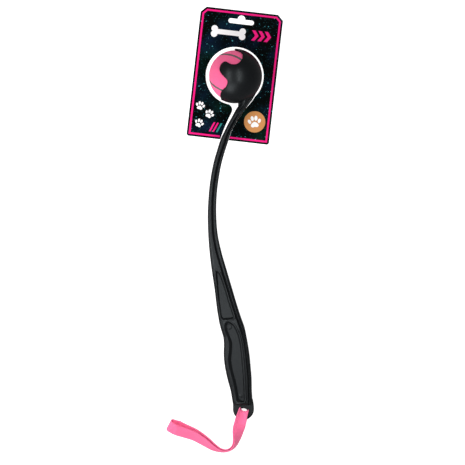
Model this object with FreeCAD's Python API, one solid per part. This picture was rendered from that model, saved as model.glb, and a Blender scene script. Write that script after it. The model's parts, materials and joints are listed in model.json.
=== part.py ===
import FreeCAD, Part
import math
import os

# Ball launcher stick, as it lies on a table: a moulded arm with a cup and a grip, a felt covered
# ball held in the cup, a webbing wrist strap through the grip's end and the flat board that it is
# sold on. All lengths are millimetres and all angles are degrees.
#
# The arm is drawn in its own flat frame first: x across, y up towards the cup, z out of the
# moulding's middle plane, origin at the ball's centre. It is then tipped so that the cup and the
# heel of the grip both rest on the table, which is z = 0.

V = FreeCAD.Vector
ORIGIN = V(0, 0, 0)
UP = V(0, 0, 1)

# Ball
BALL_DIAMETER = 65.0
FELT_THICKNESS = 2.7
CORE_WALL = 3.4
SEAM_WIDTH = 1.5
SEAM_SINK = 0.35
SEAM_WAVE = 0.25
SEAM_TURNS = (60.5, -37.4, 88.1)
SEAM_STEPS = 48

# Cup
BALL_CLEARANCE = 0.3
CUP_WALL = 1.9
MOUTH_ANGLE = 164.2
GUSSET_THICKNESS = 6.0
ROOT_DEPTH = 19.8

# Arm
NECK_LENGTH = 46.0
NECK_CUT_DROP = 31.0
SHAFT_LENGTH = 166.0
SHAFT_WIDTH = 10.3
SHAFT_THICKNESS = 14.5
SHAFT_CORNER = 3.4
GRIP_LENGTH = 167.7
GRIP_WIDTH = 32.7
GRIP_THICKNESS = 24.0
GRIP_CORNER = 6.5
SWELL_ABOVE = 75.0
SWELL_BELOW = 80.0

# Grooves and pockets moulded into both faces
GROOVE_WIDTH = 1.5
GROOVE_DEPTH = 2.6
POCKET_DEPTH = 2.4
MARK_DIAMETER = 6.8
SMALL_MARK_DIAMETER = 3.6
MARK_HEIGHT = 0.5

# Tab at the end of the grip, with the hole for the strap
TAB_RADIUS = 13.3
TAB_THICKNESS = 10.0
TAB_LENGTH = 8.3
TAB_OFFSET = 11.1
TAB_EDGE = 1.6
HOLE_DIAMETER = 12.0
HOLE_WALL = 2.6

# Wrist strap
STRAP_WIDTH = 15.0
STRAP_THICKNESS = 1.4
STRAP_HOLE_WIDTH = 8.0
STRAP_CLEARANCE = 0.6
TABLE_GAP = 0.15
LAP_LENGTH = 9.0
LAP_GAP = 0.15
TACK_LENGTH = 11.0
TACK_WIDTH = 3.0
TACK_THREAD = 0.3

# Board: it lies under the launcher, turned and shifted as the real one
BOARD_THICKNESS = 0.7
BOARD_WIDTH = 105.0
BOARD_HEIGHT = 165.0
BOARD_TURN = -6.58
BOARD_SIDE_SHIFT = 0.3
BOARD_LIFT = 0.65
BOARD_CHAMFER = 7.0
BOARD_CORNER = 3.0
WINDOW_GAP = 2.0
SLOT_GAP = 1.0
HANG_SLOT_WIDTH = 32.4
HANG_SLOT_HEIGHT = 6.0
HANG_SLOT_DROP = 14.0
HANG_BUMP_RADIUS = 4.9

# Worked out from the sizes above
BALL_RADIUS = BALL_DIAMETER / 2
CORE_RADIUS = BALL_RADIUS - FELT_THICKNESS
INSIDE = 0.8 * CORE_RADIUS
OUTSIDE = 1.1 * BALL_RADIUS
CUP_IN = BALL_RADIUS + BALL_CLEARANCE
CUP_OUT = CUP_IN + CUP_WALL
MOUTH = V(math.cos(math.radians(MOUTH_ANGLE)), math.sin(math.radians(MOUTH_ANGLE)), 0)
SHAFT_TOP = -(CUP_OUT + NECK_LENGTH)
GRIP_TOP = SHAFT_TOP - SHAFT_LENGTH
GRIP_HEEL = GRIP_TOP - GRIP_LENGTH
SWELL_TOP = GRIP_TOP + SWELL_ABOVE
SWELL_FOOT = GRIP_TOP - SWELL_BELOW
TAB_CENTRE = V(TAB_OFFSET, GRIP_HEEL - TAB_LENGTH, 0)
HOLE_RADIUS = HOLE_DIAMETER / 2
HOLE_CENTRE = TAB_CENTRE - V(0, TAB_RADIUS - HOLE_WALL - HOLE_RADIUS, 0)
FAR = 3 * BALL_DIAMETER

# The arm's tip about x: the cup touches the table, and so does the heel's lower edge
HEEL_REACH = math.hypot(GRIP_HEEL, GRIP_THICKNESS / 2)
TIP_ANGLE = math.degrees(
    math.asin(CUP_OUT / HEEL_REACH) - math.atan2(GRIP_THICKNESS / 2, -GRIP_HEEL)
)

# Stations down the stick, chosen by eye on the outline of the real moulding.
# Neck: drop below the cup, middle line, width and the groove's inset from the right edge
NECK_STATIONS = [
    (-4.8, 17.0, 10.6, 5.6),
    (5.3, 9.0, 11.4, 5.6),
    (15.5, 2.5, 9.9, 4.3),
    (25.7, -3.6, 9.0, 3.6),
    (35.8, -8.7, 8.8, 3.5),
]
# Shaft: share of its length, middle line, share of the grip's extra width, groove inset
SHAFT_STATIONS = [
    (0.0, -12.7, 0.0, 3.8),
    (0.081, -17.1, 0.0, 4.1),
    (0.172, -21.4, 0.0, 4.3),
    (0.31, -25.7, 0.0, 4.6),
    (0.448, -28.1, 0.0, 4.7),
    (0.586, -28.7, 0.03, 4.8),
    (0.724, -27.5, 0.08, 5.4),
    (0.862, -24.2, 0.22, 5.9),
]
# Grip: share of its length, middle line, share of the grip's extra width, groove inset
GRIP_STATIONS = [
    (0.0, -19.5, 0.39, 5.8),
    (0.137, -14.4, 0.54, 5.6),
    (0.273, -9.6, 0.72, 5.5),
    (0.365, -5.9, 0.84, 5.2),
    (0.411, -3.7, 0.895, 5.1),
    (0.456, -1.6, 0.895, 4.7),
    (0.502, 0.3, 0.86, 4.0),
    (0.55, 1.4, 0.89, 3.5),
    (0.636, 2.4, 1.0, 3.8),
    (0.727, 3.9, 1.0, 3.7),
    (0.818, 6.1, 0.91, 3.6),
    (0.909, 8.3, 0.745, 3.6),
    (1.0, 10.1, 0.67, 4.2),
]

# Horn between the neck and the cup: drop below the cup, middle line, half width, half thickness
FLARE_STATIONS = [
    (22.0, -1.5, 3.6, 6.0),
    (12.0, 4.6, 4.4, 8.2),
    (4.0, 9.8, 4.8, 10.6),
    (-3.5, 13.4, 4.8, 13.2),
    (-9.0, 16.0, 4.6, 15.0),
]

# Lip of the cup seen from the side, in shares of the cup's outside radius, from top to bottom
LIP_POINTS = [
    (0.01, 1.06),
    (0.16, 0.95),
    (0.29, 0.85),
    (0.328, 0.76),
    (0.268, 0.605),
    (0.11, 0.475),
    (-0.11, 0.458),
    (-0.33, 0.55),
    (-0.475, 0.464),
    (-0.54, 0.274),
    (-0.475, 0.11),
    (-0.294, -0.072),
    (-0.242, -0.216),
    (-0.311, -0.403),
    (-0.447, -0.533),
    (-0.516, -0.706),
    (-0.484, -0.9),
]

# Pockets in the grip: (share of the grip's length, share of the way from the left edge to the
# groove), each walked round once
TRIANGLE_POCKET = [
    (0.0, 0.42),
    (0.015, 0.34),
    (0.13, 0.135),
    (0.24, 0.095),
    (0.33, 0.09),
    (0.356, 0.13),
    (0.368, 0.23),
    (0.358, 0.75),
    (0.335, 0.86),
    (0.24, 0.845),
    (0.13, 0.815),
    (0.03, 0.72),
]
CURVED_POCKET = [
    (0.385, 0.44),
    (0.41, 0.255),
    (0.455, 0.19),
    (0.5, 0.215),
    (0.546, 0.27),
    (0.6, 0.255),
    (0.665, 0.205),
    (0.73, 0.205),
    (0.8, 0.235),
    (0.88, 0.255),
    (0.945, 0.25),
    (0.972, 0.33),
    (0.972, 0.64),
    (0.945, 0.735),
    (0.85, 0.765),
    (0.73, 0.795),
    (0.6, 0.8),
    (0.52, 0.79),
    (0.46, 0.775),
    (0.405, 0.68),
]
MARK_PLACES = [(0.422, 0.44, MARK_DIAMETER), (0.947, 0.52, SMALL_MARK_DIAMETER)]

# Slot of the board beside the stick: drop below the cup, left edge
SLOT_LEFT = [
    (0.0, -9.0),
    (2.6, -5.6),
    (5.6, -3.6),
    (9.3, -3.3),
    (13.5, -4.9),
    (24.5, -10.2),
    (33.5, -14.0),
    (45.5, -18.3),
]

# Route of the strap's upper layer, from the hole to the fold at its far end. Each row has x and y
# from the hole's centre, the roll, the share of the tab's thickness that parts the two layers,
# how far the lower layer is lifted to the tab, the gap between the layers and their side shift.
STRAP_POINTS = [
    (-2.8, -7.5, 0, 1.0, 1.0, 2.0, 0.0),
    (-4.4, -14.0, 6, 0.95, 0.95, 2.0, 0.0),
    (-6.2, -22.0, 26, 0.7, 0.8, 2.0, 0.0),
    (-7.3, -29.6, 48, 0.35, 0.0, 2.0, 0.0),
    (-8.6, -36.0, 66, 0.12, 0.0, 2.0, 0.0),
    (-11.1, -42.3, 80, 0.02, 0.0, 2.0, 0.0),
    (-16.2, -47.0, 88, 0.0, 0.0, 2.0, 0.0),
    (-22.9, -49.0, 88, 0.0, 0.0, 2.0, 0.0),
    (-30.6, -47.6, 80, 0.0, 0.0, 2.0, 0.0),
    (-39.1, -43.6, 67, 0.0, 0.0, 2.1, 0.0),
    (-49.2, -36.6, 54, 0.0, 0.0, 2.2, 0.3),
    (-61.9, -28.7, 42, 0.0, 0.0, 2.5, 0.7),
    (-74.7, -23.7, 36, 0.0, 0.0, 3.4, 1.4),
    (-86.0, -19.9, 34, 0.0, 0.0, 4.4, 1.6),
    (-93.0, -16.9, 33, 0.0, 0.0, 4.8, 1.0),
]
STRAP_STEPS = 30
FOLD_STEPS = 5
LAP_START = 8.5
LAP_EASE = 5.0


def between(low, high, share):
    return low + (high - low) * share


def ease(share):
    """Slow start and slow end between 0 and 1."""
    share = min(1.0, max(0.0, share))
    return share * share * (3 - 2 * share)


def spline(points):
    curve = Part.BSplineCurve()
    curve.interpolate(points)
    return curve.toShape()


def closed_spline(points):
    curve = Part.BSplineCurve()
    curve.interpolate(points, PeriodicFlag=True)
    return curve.toShape()


def polygon_edges(points):
    return [Part.makeLine(start, end) for start, end in zip(points, points[1:])]


def prism(edges, low, high):
    """Solid with the flat outline, from one height to another."""
    face = Part.Face(Part.Wire(edges))
    face.translate(V(0, 0, low))
    return face.extrude(V(0, 0, high - low))


# Stick


def stick_rows():
    """Every station as (y, middle, width, thickness, corner, groove inset), cup to heel."""
    root_y = -ROOT_DEPTH
    root_x = math.sqrt(CUP_OUT**2 - root_y**2) - SHAFT_WIDTH / 2 - CUP_WALL / 3
    rows = [(root_y, root_x, SHAFT_WIDTH, SHAFT_THICKNESS, SHAFT_CORNER, NECK_STATIONS[0][3])]
    for drop, middle, width, inset in NECK_STATIONS:
        y = between(-CUP_OUT, SHAFT_TOP, drop / NECK_LENGTH)
        rows.append((y, middle, width, SHAFT_THICKNESS, SHAFT_CORNER, inset))
    stretches = [
        (SHAFT_STATIONS, SHAFT_TOP, SHAFT_LENGTH),
        (GRIP_STATIONS, GRIP_TOP, GRIP_LENGTH),
    ]
    for stations, top, length in stretches:
        for share, middle, extra, inset in stations:
            along = (top - share * length - SWELL_TOP) / (SWELL_FOOT - SWELL_TOP)
            swell = ease(along)
            width = between(SHAFT_WIDTH, GRIP_WIDTH, extra)
            thickness = between(SHAFT_THICKNESS, GRIP_THICKNESS, swell)
            corner = between(SHAFT_CORNER, GRIP_CORNER, swell)
            rows.append((top - share * length, middle, width, thickness, corner, inset))
    return rows


def section_wire(y, middle, width, thickness, corner):
    """Rounded rectangle in the plane of one station."""
    a = width / 2
    b = thickness / 2
    r = min(corner, 0.45 * width, 0.45 * thickness)
    corners = [(a - r, b - r, 0), (r - a, b - r, 90), (r - a, r - b, 180), (a - r, r - b, 270)]

    def point(index, angle):
        cx, cz, _ = corners[index]
        turn = math.radians(angle)
        return V(middle + cx + r * math.cos(turn), y, cz + r * math.sin(turn))

    edges = []
    for index, (_, _, start) in enumerate(corners):
        points = [point(index, start), point(index, start + 45), point(index, start + 90)]
        edges.append(Part.Arc(*points).toShape())
        edges.append(Part.makeLine(points[-1], point((index + 1) % 4, start + 90)))
    return Part.Wire(edges)


def stick_solid(skin=0.0):
    """The stick from inside the cup's wall to the heel, thinner by the skin on both faces."""
    wires = [
        section_wire(y, middle, width, thickness - 2 * skin, corner)
        for y, middle, width, thickness, corner, _ in stick_rows()
    ]
    return Part.makeLoft(wires, True, False)


def groove_line(side):
    """Middle of the groove from the cup to the heel, shifted by a share of its width."""
    points = []
    for y, middle, width, _, _, inset in stick_rows():
        points.append(V(middle + width / 2 - inset + side * GROOVE_WIDTH / 2, y, 0))
    return points


def groove_cutter():
    left = groove_line(-1)
    right = groove_line(1)
    edges = [spline(left), Part.makeLine(left[-1], right[-1])]
    edges += [spline(right), Part.makeLine(right[0], left[0])]
    return prism(edges, -FAR, FAR).cut(stick_solid(GROOVE_DEPTH))


def grip_point(share, across):
    """Point on the grip's face, from its left edge (0) to its groove (1)."""
    rows = stick_rows()[-len(GRIP_STATIONS):]
    y = GRIP_TOP - share * GRIP_LENGTH
    for upper, lower in zip(rows, rows[1:]):
        if lower[0] <= y + 1e-9:
            part = (upper[0] - y) / (upper[0] - lower[0])
            left = between(upper[1] - upper[2] / 2, lower[1] - lower[2] / 2, part)
            groove = between(upper[1] + upper[2] / 2 - upper[5], lower[1] + lower[2] / 2 - lower[5], part)
            return V(between(left, groove, across), y, 0)
    raise ValueError("the point lies below the heel")


def pocket_cutter():
    outlines = []
    for outline in (TRIANGLE_POCKET, CURVED_POCKET):
        points = [grip_point(share, across) for share, across in outline]
        outlines.append(prism([closed_spline(points)], -FAR, FAR))
    cutter = outlines[0].fuse(outlines[1]).cut(stick_solid(POCKET_DEPTH))
    raised = stick_solid(POCKET_DEPTH - MARK_HEIGHT)
    for share, across, diameter in MARK_PLACES:
        centre = grip_point(share, across) - V(0, 0, FAR)
        mark = Part.makeCylinder(diameter / 2, 2 * FAR, centre, UP)
        cutter = cutter.cut(mark.common(raised))
    return cutter


def slab(top, bottom):
    """Everything between two heights along the stick."""
    return Part.makeBox(2 * FAR, top - bottom, 2 * FAR, V(-FAR, bottom, -FAR))


# Cup


def bullet(radius, length):
    """Ball shape that runs on as a tube towards the cup's mouth."""
    across = V(-MOUTH.y, MOUTH.x, 0)
    back = MOUTH * -radius
    side = across * radius
    end = MOUTH * length
    middle = (back + side).normalize() * radius
    edges = [Part.Arc(back, middle, side).toShape()]
    edges += polygon_edges([side, side + end, end, back])
    return Part.Face(Part.Wire(edges)).revolve(ORIGIN, MOUTH, 360)


def lip_keeper():
    """What is kept of the cup: all that lies behind its wavy lip."""
    lip = [V(x * CUP_OUT, y * CUP_OUT, 0) for x, y in LIP_POINTS]
    top = V(lip[0].x, FAR, 0)
    bottom = V(lip[-1].x, -FAR, 0)
    edges = [spline(lip)]
    edges += polygon_edges([lip[-1], bottom, V(FAR, -FAR, 0), V(FAR, FAR, 0), top, lip[0]])
    return prism(edges, -FAR, FAR)


def flare():
    """Horn that spreads the neck's two faces out onto the cup."""
    wires = []
    for drop, middle, half_width, half_thickness in FLARE_STATIONS:
        centre = V(middle, -(CUP_OUT + drop), 0)
        ring = Part.Ellipse(ORIGIN, max(half_width, half_thickness), min(half_width, half_thickness))
        ring.Center = centre
        ring.Axis = V(0, 1, 0)
        ring.XAxis = UP
        wires.append(Part.Wire(ring.toShape()))
    return Part.makeLoft(wires, True, False)


def gusset():
    """Thin web that fills the corner between the cup and the stick's left edge."""
    rows = stick_rows()
    corner = V(rows[2][1] - rows[2][2] / 2 + 1.0, rows[2][0], 0)
    points = [corner, V(corner.x, -0.985 * CUP_OUT, 0), V(0.33 * CUP_OUT, -0.86 * CUP_OUT, 0)]
    points += [V(rows[1][1], rows[1][0], 0), V(rows[2][1], rows[2][0], 0), corner]
    return prism(polygon_edges(points), -GUSSET_THICKNESS / 2, GUSSET_THICKNESS / 2)


def cup_and_neck(stick, groove):
    neck = stick.common(slab(FAR, -(CUP_OUT + NECK_CUT_DROP)))
    neck = neck.fuse(flare()).cut(groove)
    body = bullet(CUP_OUT, 2 * CUP_OUT).fuse([neck, gusset()])
    return body.cut(bullet(CUP_IN, 3 * CUP_OUT)).common(lip_keeper())


# Grip's end


def end_tab():
    """Round ended tab below the heel, thinner than the grip."""
    low = V(0, 0, -TAB_THICKNESS / 2)
    disc = Part.makeCylinder(TAB_RADIUS, TAB_THICKNESS, TAB_CENTRE + low, UP)
    rims = [edge for edge in disc.Edges if edge.Closed and abs(edge.CenterOfMass.z) > 1]
    disc = disc.makeFillet(TAB_EDGE, rims)
    width = 2 * TAB_RADIUS - TAB_EDGE
    corner = TAB_CENTRE + low - V(TAB_RADIUS, 0, 0)
    block = Part.makeBox(width, TAB_LENGTH + TAB_EDGE, TAB_THICKNESS, corner)
    sides = [edge for edge in block.Edges if edge.BoundBox.YLength > TAB_EDGE]
    block = block.makeFillet(TAB_EDGE, sides)
    return disc.fuse(block)


def heel_cap():
    """Chamfered end of the grip, where it steps down to the tab."""
    y, middle, width, thickness, corner, _ = stick_rows()[-1]
    full = section_wire(y, middle, width, thickness, corner)
    cut = 2 * TAB_EDGE
    small = section_wire(y - TAB_EDGE, middle, width - cut, thickness - cut, corner - TAB_EDGE)
    return Part.makeLoft([full, small], True, True)


def grip_solid(stick, groove, pockets):
    grip = stick.common(slab(GRIP_TOP, GRIP_HEEL - FAR)).cut(groove).cut(pockets)
    hole = Part.makeCylinder(HOLE_RADIUS, 2 * FAR, HOLE_CENTRE - V(0, 0, FAR), UP)
    return grip.fuse([heel_cap(), end_tab()]).cut(hole)


# Ball


def seam_point(turn):
    """Point of the two lobed seam on a sphere of radius 1."""
    wide = 1 - SEAM_WAVE
    deep = 2 * math.sqrt(wide * SEAM_WAVE)
    return V(
        wide * math.cos(turn) + SEAM_WAVE * math.cos(3 * turn),
        wide * math.sin(turn) - SEAM_WAVE * math.sin(3 * turn),
        deep * math.sin(2 * turn),
    )


def seam_band():
    """Closed band that follows the seam through the whole thickness of the felt."""
    angle = SEAM_WIDTH / 2 / BALL_RADIUS
    rings = []
    for side, reach in ((-1, INSIDE), (-1, OUTSIDE), (1, OUTSIDE), (1, INSIDE)):
        points = []
        for step in range(SEAM_STEPS):
            turn = 2 * math.pi * step / SEAM_STEPS
            here = seam_point(turn)
            along = seam_point(turn + 0.01) - seam_point(turn - 0.01)
            across = here.cross(along).normalize()
            points.append((here * math.cos(angle) + across * side * math.sin(angle)) * reach)
        rings.append(closed_spline(points))
    walls = [Part.makeRuledSurface(low, high) for low, high in zip(rings, rings[1:] + rings[:1])]
    return Part.Solid(Part.makeShell(walls))


def shell_quarters(outer, inner):
    """Hollow ball in four quarters, whose edges cross the seam squarely."""
    quarters = []
    for turn in (45, 135, 225, 315):
        quarter = Part.makeSphere(outer, ORIGIN, UP, -90, 90, 90).cut(Part.makeSphere(inner))
        quarter.rotate(ORIGIN, UP, turn)
        quarters.append(quarter)
    return quarters


def joined(shapes):
    return shapes[0].fuse(shapes[1:])


def ball_pieces():
    """Rubber core in two halves, two felt panels and the seam between them."""
    core = Part.makeSphere(CORE_RADIUS).cut(Part.makeSphere(CORE_RADIUS - CORE_WALL))
    half_space = Part.makeBox(2 * FAR, 2 * FAR, FAR, V(-FAR, -FAR, 0))
    pieces = {"ball_core_front": core.common(half_space), "ball_core_rear": core.cut(half_space)}
    felt = shell_quarters(BALL_RADIUS, CORE_RADIUS)
    band = seam_band()
    inlay = shell_quarters(BALL_RADIUS - SEAM_SINK, CORE_RADIUS)
    seam = joined([quarter.common(band) for quarter in inlay])
    panels = joined([quarter.cut(band) for quarter in felt]).Solids
    panels = sorted(panels, key=lambda solid: solid.CenterOfMass.z)
    skin = {
        "felt_panel_mouth_side": panels[0],
        "felt_panel_cup_side": panels[1],
        "ball_seam": seam,
    }
    for shape in skin.values():
        for axis, angle in zip((V(1, 0, 0), V(0, 1, 0), UP), SEAM_TURNS):
            shape.rotate(ORIGIN, axis, angle)
    pieces.update(skin)
    return pieces


# Strap


def strap_section(centre, along, across, width, thickness=STRAP_THICKNESS):
    """Flat rectangle across the webbing."""
    across = across - along * across.dot(along)
    a = across.normalize() * (width / 2)
    b = along.cross(across).normalize() * (thickness / 2)
    corners = [centre + a + b, centre - a + b, centre - a - b, centre + a - b]
    return Part.makePolygon(corners + corners[:1])


def smooth_rows(rows, steps):
    """Smooth values between hand chosen rows that start with x and y."""
    path = Part.BSplineCurve()
    path.interpolate([V(row[0], row[1], 0) for row in rows])
    knots = [path.parameter(V(row[0], row[1], 0)) for row in rows]
    samples = []
    for step in range(steps + 1):
        value = between(knots[0], knots[-1], step / steps)
        index = max(i for i in range(len(knots) - 1) if knots[i] <= value + 1e-9)
        part = (value - knots[index]) / (knots[index + 1] - knots[index])
        rest = [between(a, b, part) for a, b in zip(rows[index][2:], rows[index + 1][2:])]
        samples.append((path.value(value), path.tangent(value)[0], rest))
    return samples


def strap_layers(hole, top_seat, under_seat):
    """Stations of the two layers, from the hole outwards: centre, direction, width direction."""
    upper = []
    lower = []
    for place, along, (roll, spread, lift, gap, shift) in smooth_rows(STRAP_POINTS, STRAP_STEPS):
        turn = math.radians(roll)
        inner = V(along.y, -along.x, 0)
        across = inner * math.cos(turn) + UP * math.sin(turn)
        normal = UP * math.cos(turn) - inner * math.sin(turn)
        rest = (STRAP_WIDTH * math.sin(turn) + STRAP_THICKNESS * math.cos(turn)) / 2 + TABLE_GAP
        height = max(rest, between(rest, under_seat, lift))
        under = V(hole.x + place.x, hole.y + place.y, height)
        parting = normal * gap + UP * spread * (top_seat - under_seat - gap)
        level = V(0, 0, parting.z)
        upper.append((under + level, along, across))
        lower.append((under + level - parting + inner * shift, along * -1, across))
    return upper, lower


def strap_stations(hole, top_seat, under_seat):
    """Every section of the webbing from its hidden end, once round the loop to the lap."""
    upper, lower = strap_layers(hole, top_seat, under_seat)
    side = V(-1, 0, 0)
    reach = HOLE_RADIUS - STRAP_CLEARANCE - STRAP_THICKNESS / 2
    run = V(hole.x, hole.y - math.sqrt(reach**2 - (STRAP_HOLE_WIDTH / 2) ** 2), 0)
    bend = STRAP_THICKNESS
    out = V(0, -1, 0)
    lap_end = LAP_START + LAP_LENGTH
    stations = [
        (centre, along, across, STRAP_WIDTH)
        for centre, along, across in reversed(lower)
        if hole.y - centre.y <= lap_end and centre.x > hole.x - STRAP_WIDTH
    ]
    heights = (under_seat, under_seat + bend, top_seat - bend, top_seat)
    turns = (out * -1 + UP, UP, UP, out + UP)
    for height, turn in zip(heights, turns):
        shift = out * bend if turn.Length > 1 else V(0, 0, 0)
        place = V(run.x, run.y, height) + shift
        stations.append((place, turn.normalize(), side, STRAP_HOLE_WIDTH))
    stations += [(centre, along, across, STRAP_WIDTH) for centre, along, across in upper]
    first, along, across = upper[-1]
    last = lower[-1][0]
    middle = (first + last) / 2
    arm = first - middle
    for step in range(1, FOLD_STEPS):
        turn = math.pi * step / FOLD_STEPS
        centre = middle + arm * math.cos(turn) + along * arm.Length * math.sin(turn)
        heading = along * math.cos(turn) - arm * (math.sin(turn) / arm.Length)
        stations.append((centre, heading, across, STRAP_WIDTH))
    for centre, along, across in reversed(lower):
        drop = hole.y - centre.y
        beside = centre.x > hole.x - STRAP_WIDTH
        if beside and drop < LAP_START:
            break
        sink = 1 - min(1.0, max(0.0, (drop - lap_end) / LAP_EASE)) if beside else 0.0
        step = UP * sink * (STRAP_THICKNESS + LAP_GAP)
        stations.append((centre - step, along, across, STRAP_WIDTH))
    return stations


def strap_pieces(hole, tab_top, tab_bottom):
    """Webbing loop and the stitched bar that closes it."""
    seat = STRAP_CLEARANCE + STRAP_THICKNESS / 2
    stations = strap_stations(hole, tab_top + seat, tab_bottom - seat)
    strap = Part.makeLoft([strap_section(*station) for station in stations], True, True)
    length = sum((b[0] - a[0]).Length for a, b in zip(stations, stations[1:]))
    print("webbing length", round(length, 1))
    centre, along, across, _ = stations[-1]
    centre = centre - along * LAP_LENGTH / 2
    nearest = min(stations[: len(stations) // 3], key=lambda station: (station[0] - centre).Length)
    across = nearest[2]
    normal = along.cross(across).normalize()
    middle = centre + normal * (STRAP_THICKNESS + LAP_GAP) / 2
    thickness = 2 * STRAP_THICKNESS + LAP_GAP + 2 * TACK_THREAD
    start = middle - along * TACK_WIDTH / 2
    face = Part.Face(strap_section(start, along, across, TACK_LENGTH, thickness))
    return {"wrist_strap": strap, "strap_bar_tack": face.extrude(along * TACK_WIDTH)}


# Board


def board():
    """Flat board with a window round the cup, a slot beside the stick and a hanging slot."""
    a = BOARD_WIDTH / 2
    b = BOARD_HEIGHT / 2
    c = BOARD_CHAMFER
    outline = [V(-a, -b, 0), V(a, -b, 0), V(a, b - c, 0), V(a - c, b, 0)]
    outline += [V(c - a, b, 0), V(-a, b - c, 0), V(-a, -b, 0)]
    plate = prism(polygon_edges(outline), 0, BOARD_THICKNESS)
    feet = [edge for edge in plate.Edges if edge.BoundBox.ZLength > 0.1 and edge.CenterOfMass.y < 0]
    plate = plate.makeFillet(BOARD_CORNER, feet)
    level = V(0, b - HANG_SLOT_DROP, 0)
    reach = (HANG_SLOT_WIDTH - HANG_SLOT_HEIGHT) / 2
    bar = V(2 * reach, HANG_SLOT_HEIGHT, BOARD_THICKNESS)
    hanger = Part.makeBox(bar.x, bar.y, bar.z, level - V(bar.x / 2, bar.y / 2, 0))
    for x, y, radius in (
        (-reach, 0, HANG_SLOT_HEIGHT / 2),
        (reach, 0, HANG_SLOT_HEIGHT / 2),
        (0, HANG_SLOT_HEIGHT / 2, HANG_BUMP_RADIUS),
    ):
        hanger = hanger.fuse(Part.makeCylinder(radius, BOARD_THICKNESS, level + V(x, y, 0)))
    plate = plate.cut(hanger)
    plate.translate(V(BOARD_SIDE_SHIFT, BOARD_LIFT, 0))
    plate.rotate(ORIGIN, UP, BOARD_TURN)
    window = Part.makeCylinder(CUP_OUT + WINDOW_GAP, BOARD_THICKNESS)
    return plate.cut(window.fuse(board_slot()))


def board_slot():
    """Slot from the window down to the board's lower edge, for the stick."""
    right = []
    for y, middle, width, _, _, _ in stick_rows()[: len(NECK_STATIONS) + 4]:
        right.append(V(middle + width / 2 + SLOT_GAP, y, 0))
    left = [V(x, -(CUP_OUT + drop), 0) for drop, x in SLOT_LEFT]
    floor = V(left[-1].x, right[-1].y, 0)
    edges = [spline(right)]
    edges += polygon_edges([right[-1], floor, left[-1]])
    edges.append(spline(left[::-1]))
    edges += polygon_edges([left[0], V(0, left[0].y, 0), V(0, right[0].y, 0), right[0]])
    return prism(edges, 0, BOARD_THICKNESS)


# Assembly


def tipped(shape):
    """From the arm's flat frame to the table."""
    shape.rotate(ORIGIN, V(1, 0, 0), TIP_ANGLE)
    shape.translate(V(0, 0, CUP_OUT))
    return shape


def show(shape, name):
    print(name, shape.ShapeType, shape.isValid(), len(shape.Solids), round(shape.Volume, 1))


def main():
    stick = stick_solid()
    groove = groove_cutter()
    pockets = pocket_cutter()
    nodes = {
        "ball_cup": cup_and_neck(stick, groove),
        "throwing_shaft": stick.common(slab(-(CUP_OUT + NECK_CUT_DROP), GRIP_TOP)).cut(groove),
        "handle": grip_solid(stick, groove, pockets),
    }
    nodes.update(ball_pieces())
    nodes = {name: tipped(shape) for name, shape in nodes.items()}
    half = V(0, 0, TAB_THICKNESS / 2)
    faces = [tipped(Part.Vertex(HOLE_CENTRE + side)).Point for side in (half, -half)]
    hole = (faces[0] + faces[1]) / 2
    nodes.update(strap_pieces(hole, faces[0].z, faces[1].z))
    nodes["backing_board"] = board()
    whole = Part.makeCompound(list(nodes.values())).optimalBoundingBox(True, False)
    shift = V(-(whole.XMin + whole.XMax) / 2, -(whole.YMin + whole.YMax) / 2, 0)
    print("ball centre", shift + V(0, 0, CUP_OUT), "hole", hole + shift)
    print("overall", whole.XLength, whole.YLength, whole.ZMin, whole.ZMax, "tip", TIP_ANGLE)
    os.makedirs("parts", exist_ok=True)
    for name, shape in nodes.items():
        shape.translate(shift)
        show(shape, name)
        shape.exportStep(f"parts/{name}.step")


main()
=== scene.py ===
import json
import math

import bmesh
import bpy
import numpy as np
from bpy.props import FloatProperty, FloatVectorProperty, PointerProperty
from mathutils import Matrix, Vector, noise


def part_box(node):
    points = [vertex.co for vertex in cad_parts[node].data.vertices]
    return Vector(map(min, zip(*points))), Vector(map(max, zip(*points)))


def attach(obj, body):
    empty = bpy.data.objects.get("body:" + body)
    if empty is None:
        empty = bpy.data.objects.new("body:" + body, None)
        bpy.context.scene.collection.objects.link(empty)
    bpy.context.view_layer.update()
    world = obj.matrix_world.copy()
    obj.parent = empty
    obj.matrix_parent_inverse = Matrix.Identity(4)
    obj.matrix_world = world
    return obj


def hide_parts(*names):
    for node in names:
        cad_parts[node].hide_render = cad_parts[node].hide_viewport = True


# Ball launcher with its ball, wrist strap and hanging board, as it lies on a table. The moulding
# is drawn in the arm's own flat frame in millimetres: x across, y up towards the cup, z out of the
# middle plane, origin at the ball's centre. Finished pieces are in metres, in the pack's frame.

bl_info = {
    "name": "Ball launcher stick",
    "version": (1, 0, 0),
    "blender": (4, 5, 0),
    "location": "View3D > Sidebar > Launcher",
    "description": "Builds a ball launcher with its ball, wrist strap and hanging board",
    "category": "Add Mesh",
}

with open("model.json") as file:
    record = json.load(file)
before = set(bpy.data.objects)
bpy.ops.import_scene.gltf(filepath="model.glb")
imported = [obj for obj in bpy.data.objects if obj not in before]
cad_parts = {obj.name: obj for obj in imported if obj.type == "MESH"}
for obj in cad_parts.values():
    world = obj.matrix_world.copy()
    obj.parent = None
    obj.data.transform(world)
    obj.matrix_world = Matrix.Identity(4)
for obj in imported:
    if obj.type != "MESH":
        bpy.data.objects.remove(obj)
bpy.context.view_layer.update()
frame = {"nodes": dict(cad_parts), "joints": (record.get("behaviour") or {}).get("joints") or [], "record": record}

MM = 0.001


def place_of(name, things):
    """Where the frame has the mount or joint of this name."""
    return Vector(next(thing["pos_m"] for thing in things if thing["name"] == name))


BALL_CENTRE = place_of("ball_seat", frame["record"]["mounts"])
STRAP_HOLE = place_of("strap_swing", frame["joints"])
TIP = math.atan2(BALL_CENTRE.z - STRAP_HOLE.z, BALL_CENTRE.y - STRAP_HOLE.y)
ARM_TURN = np.array(Matrix.Rotation(TIP, 3, "X"))

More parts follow.
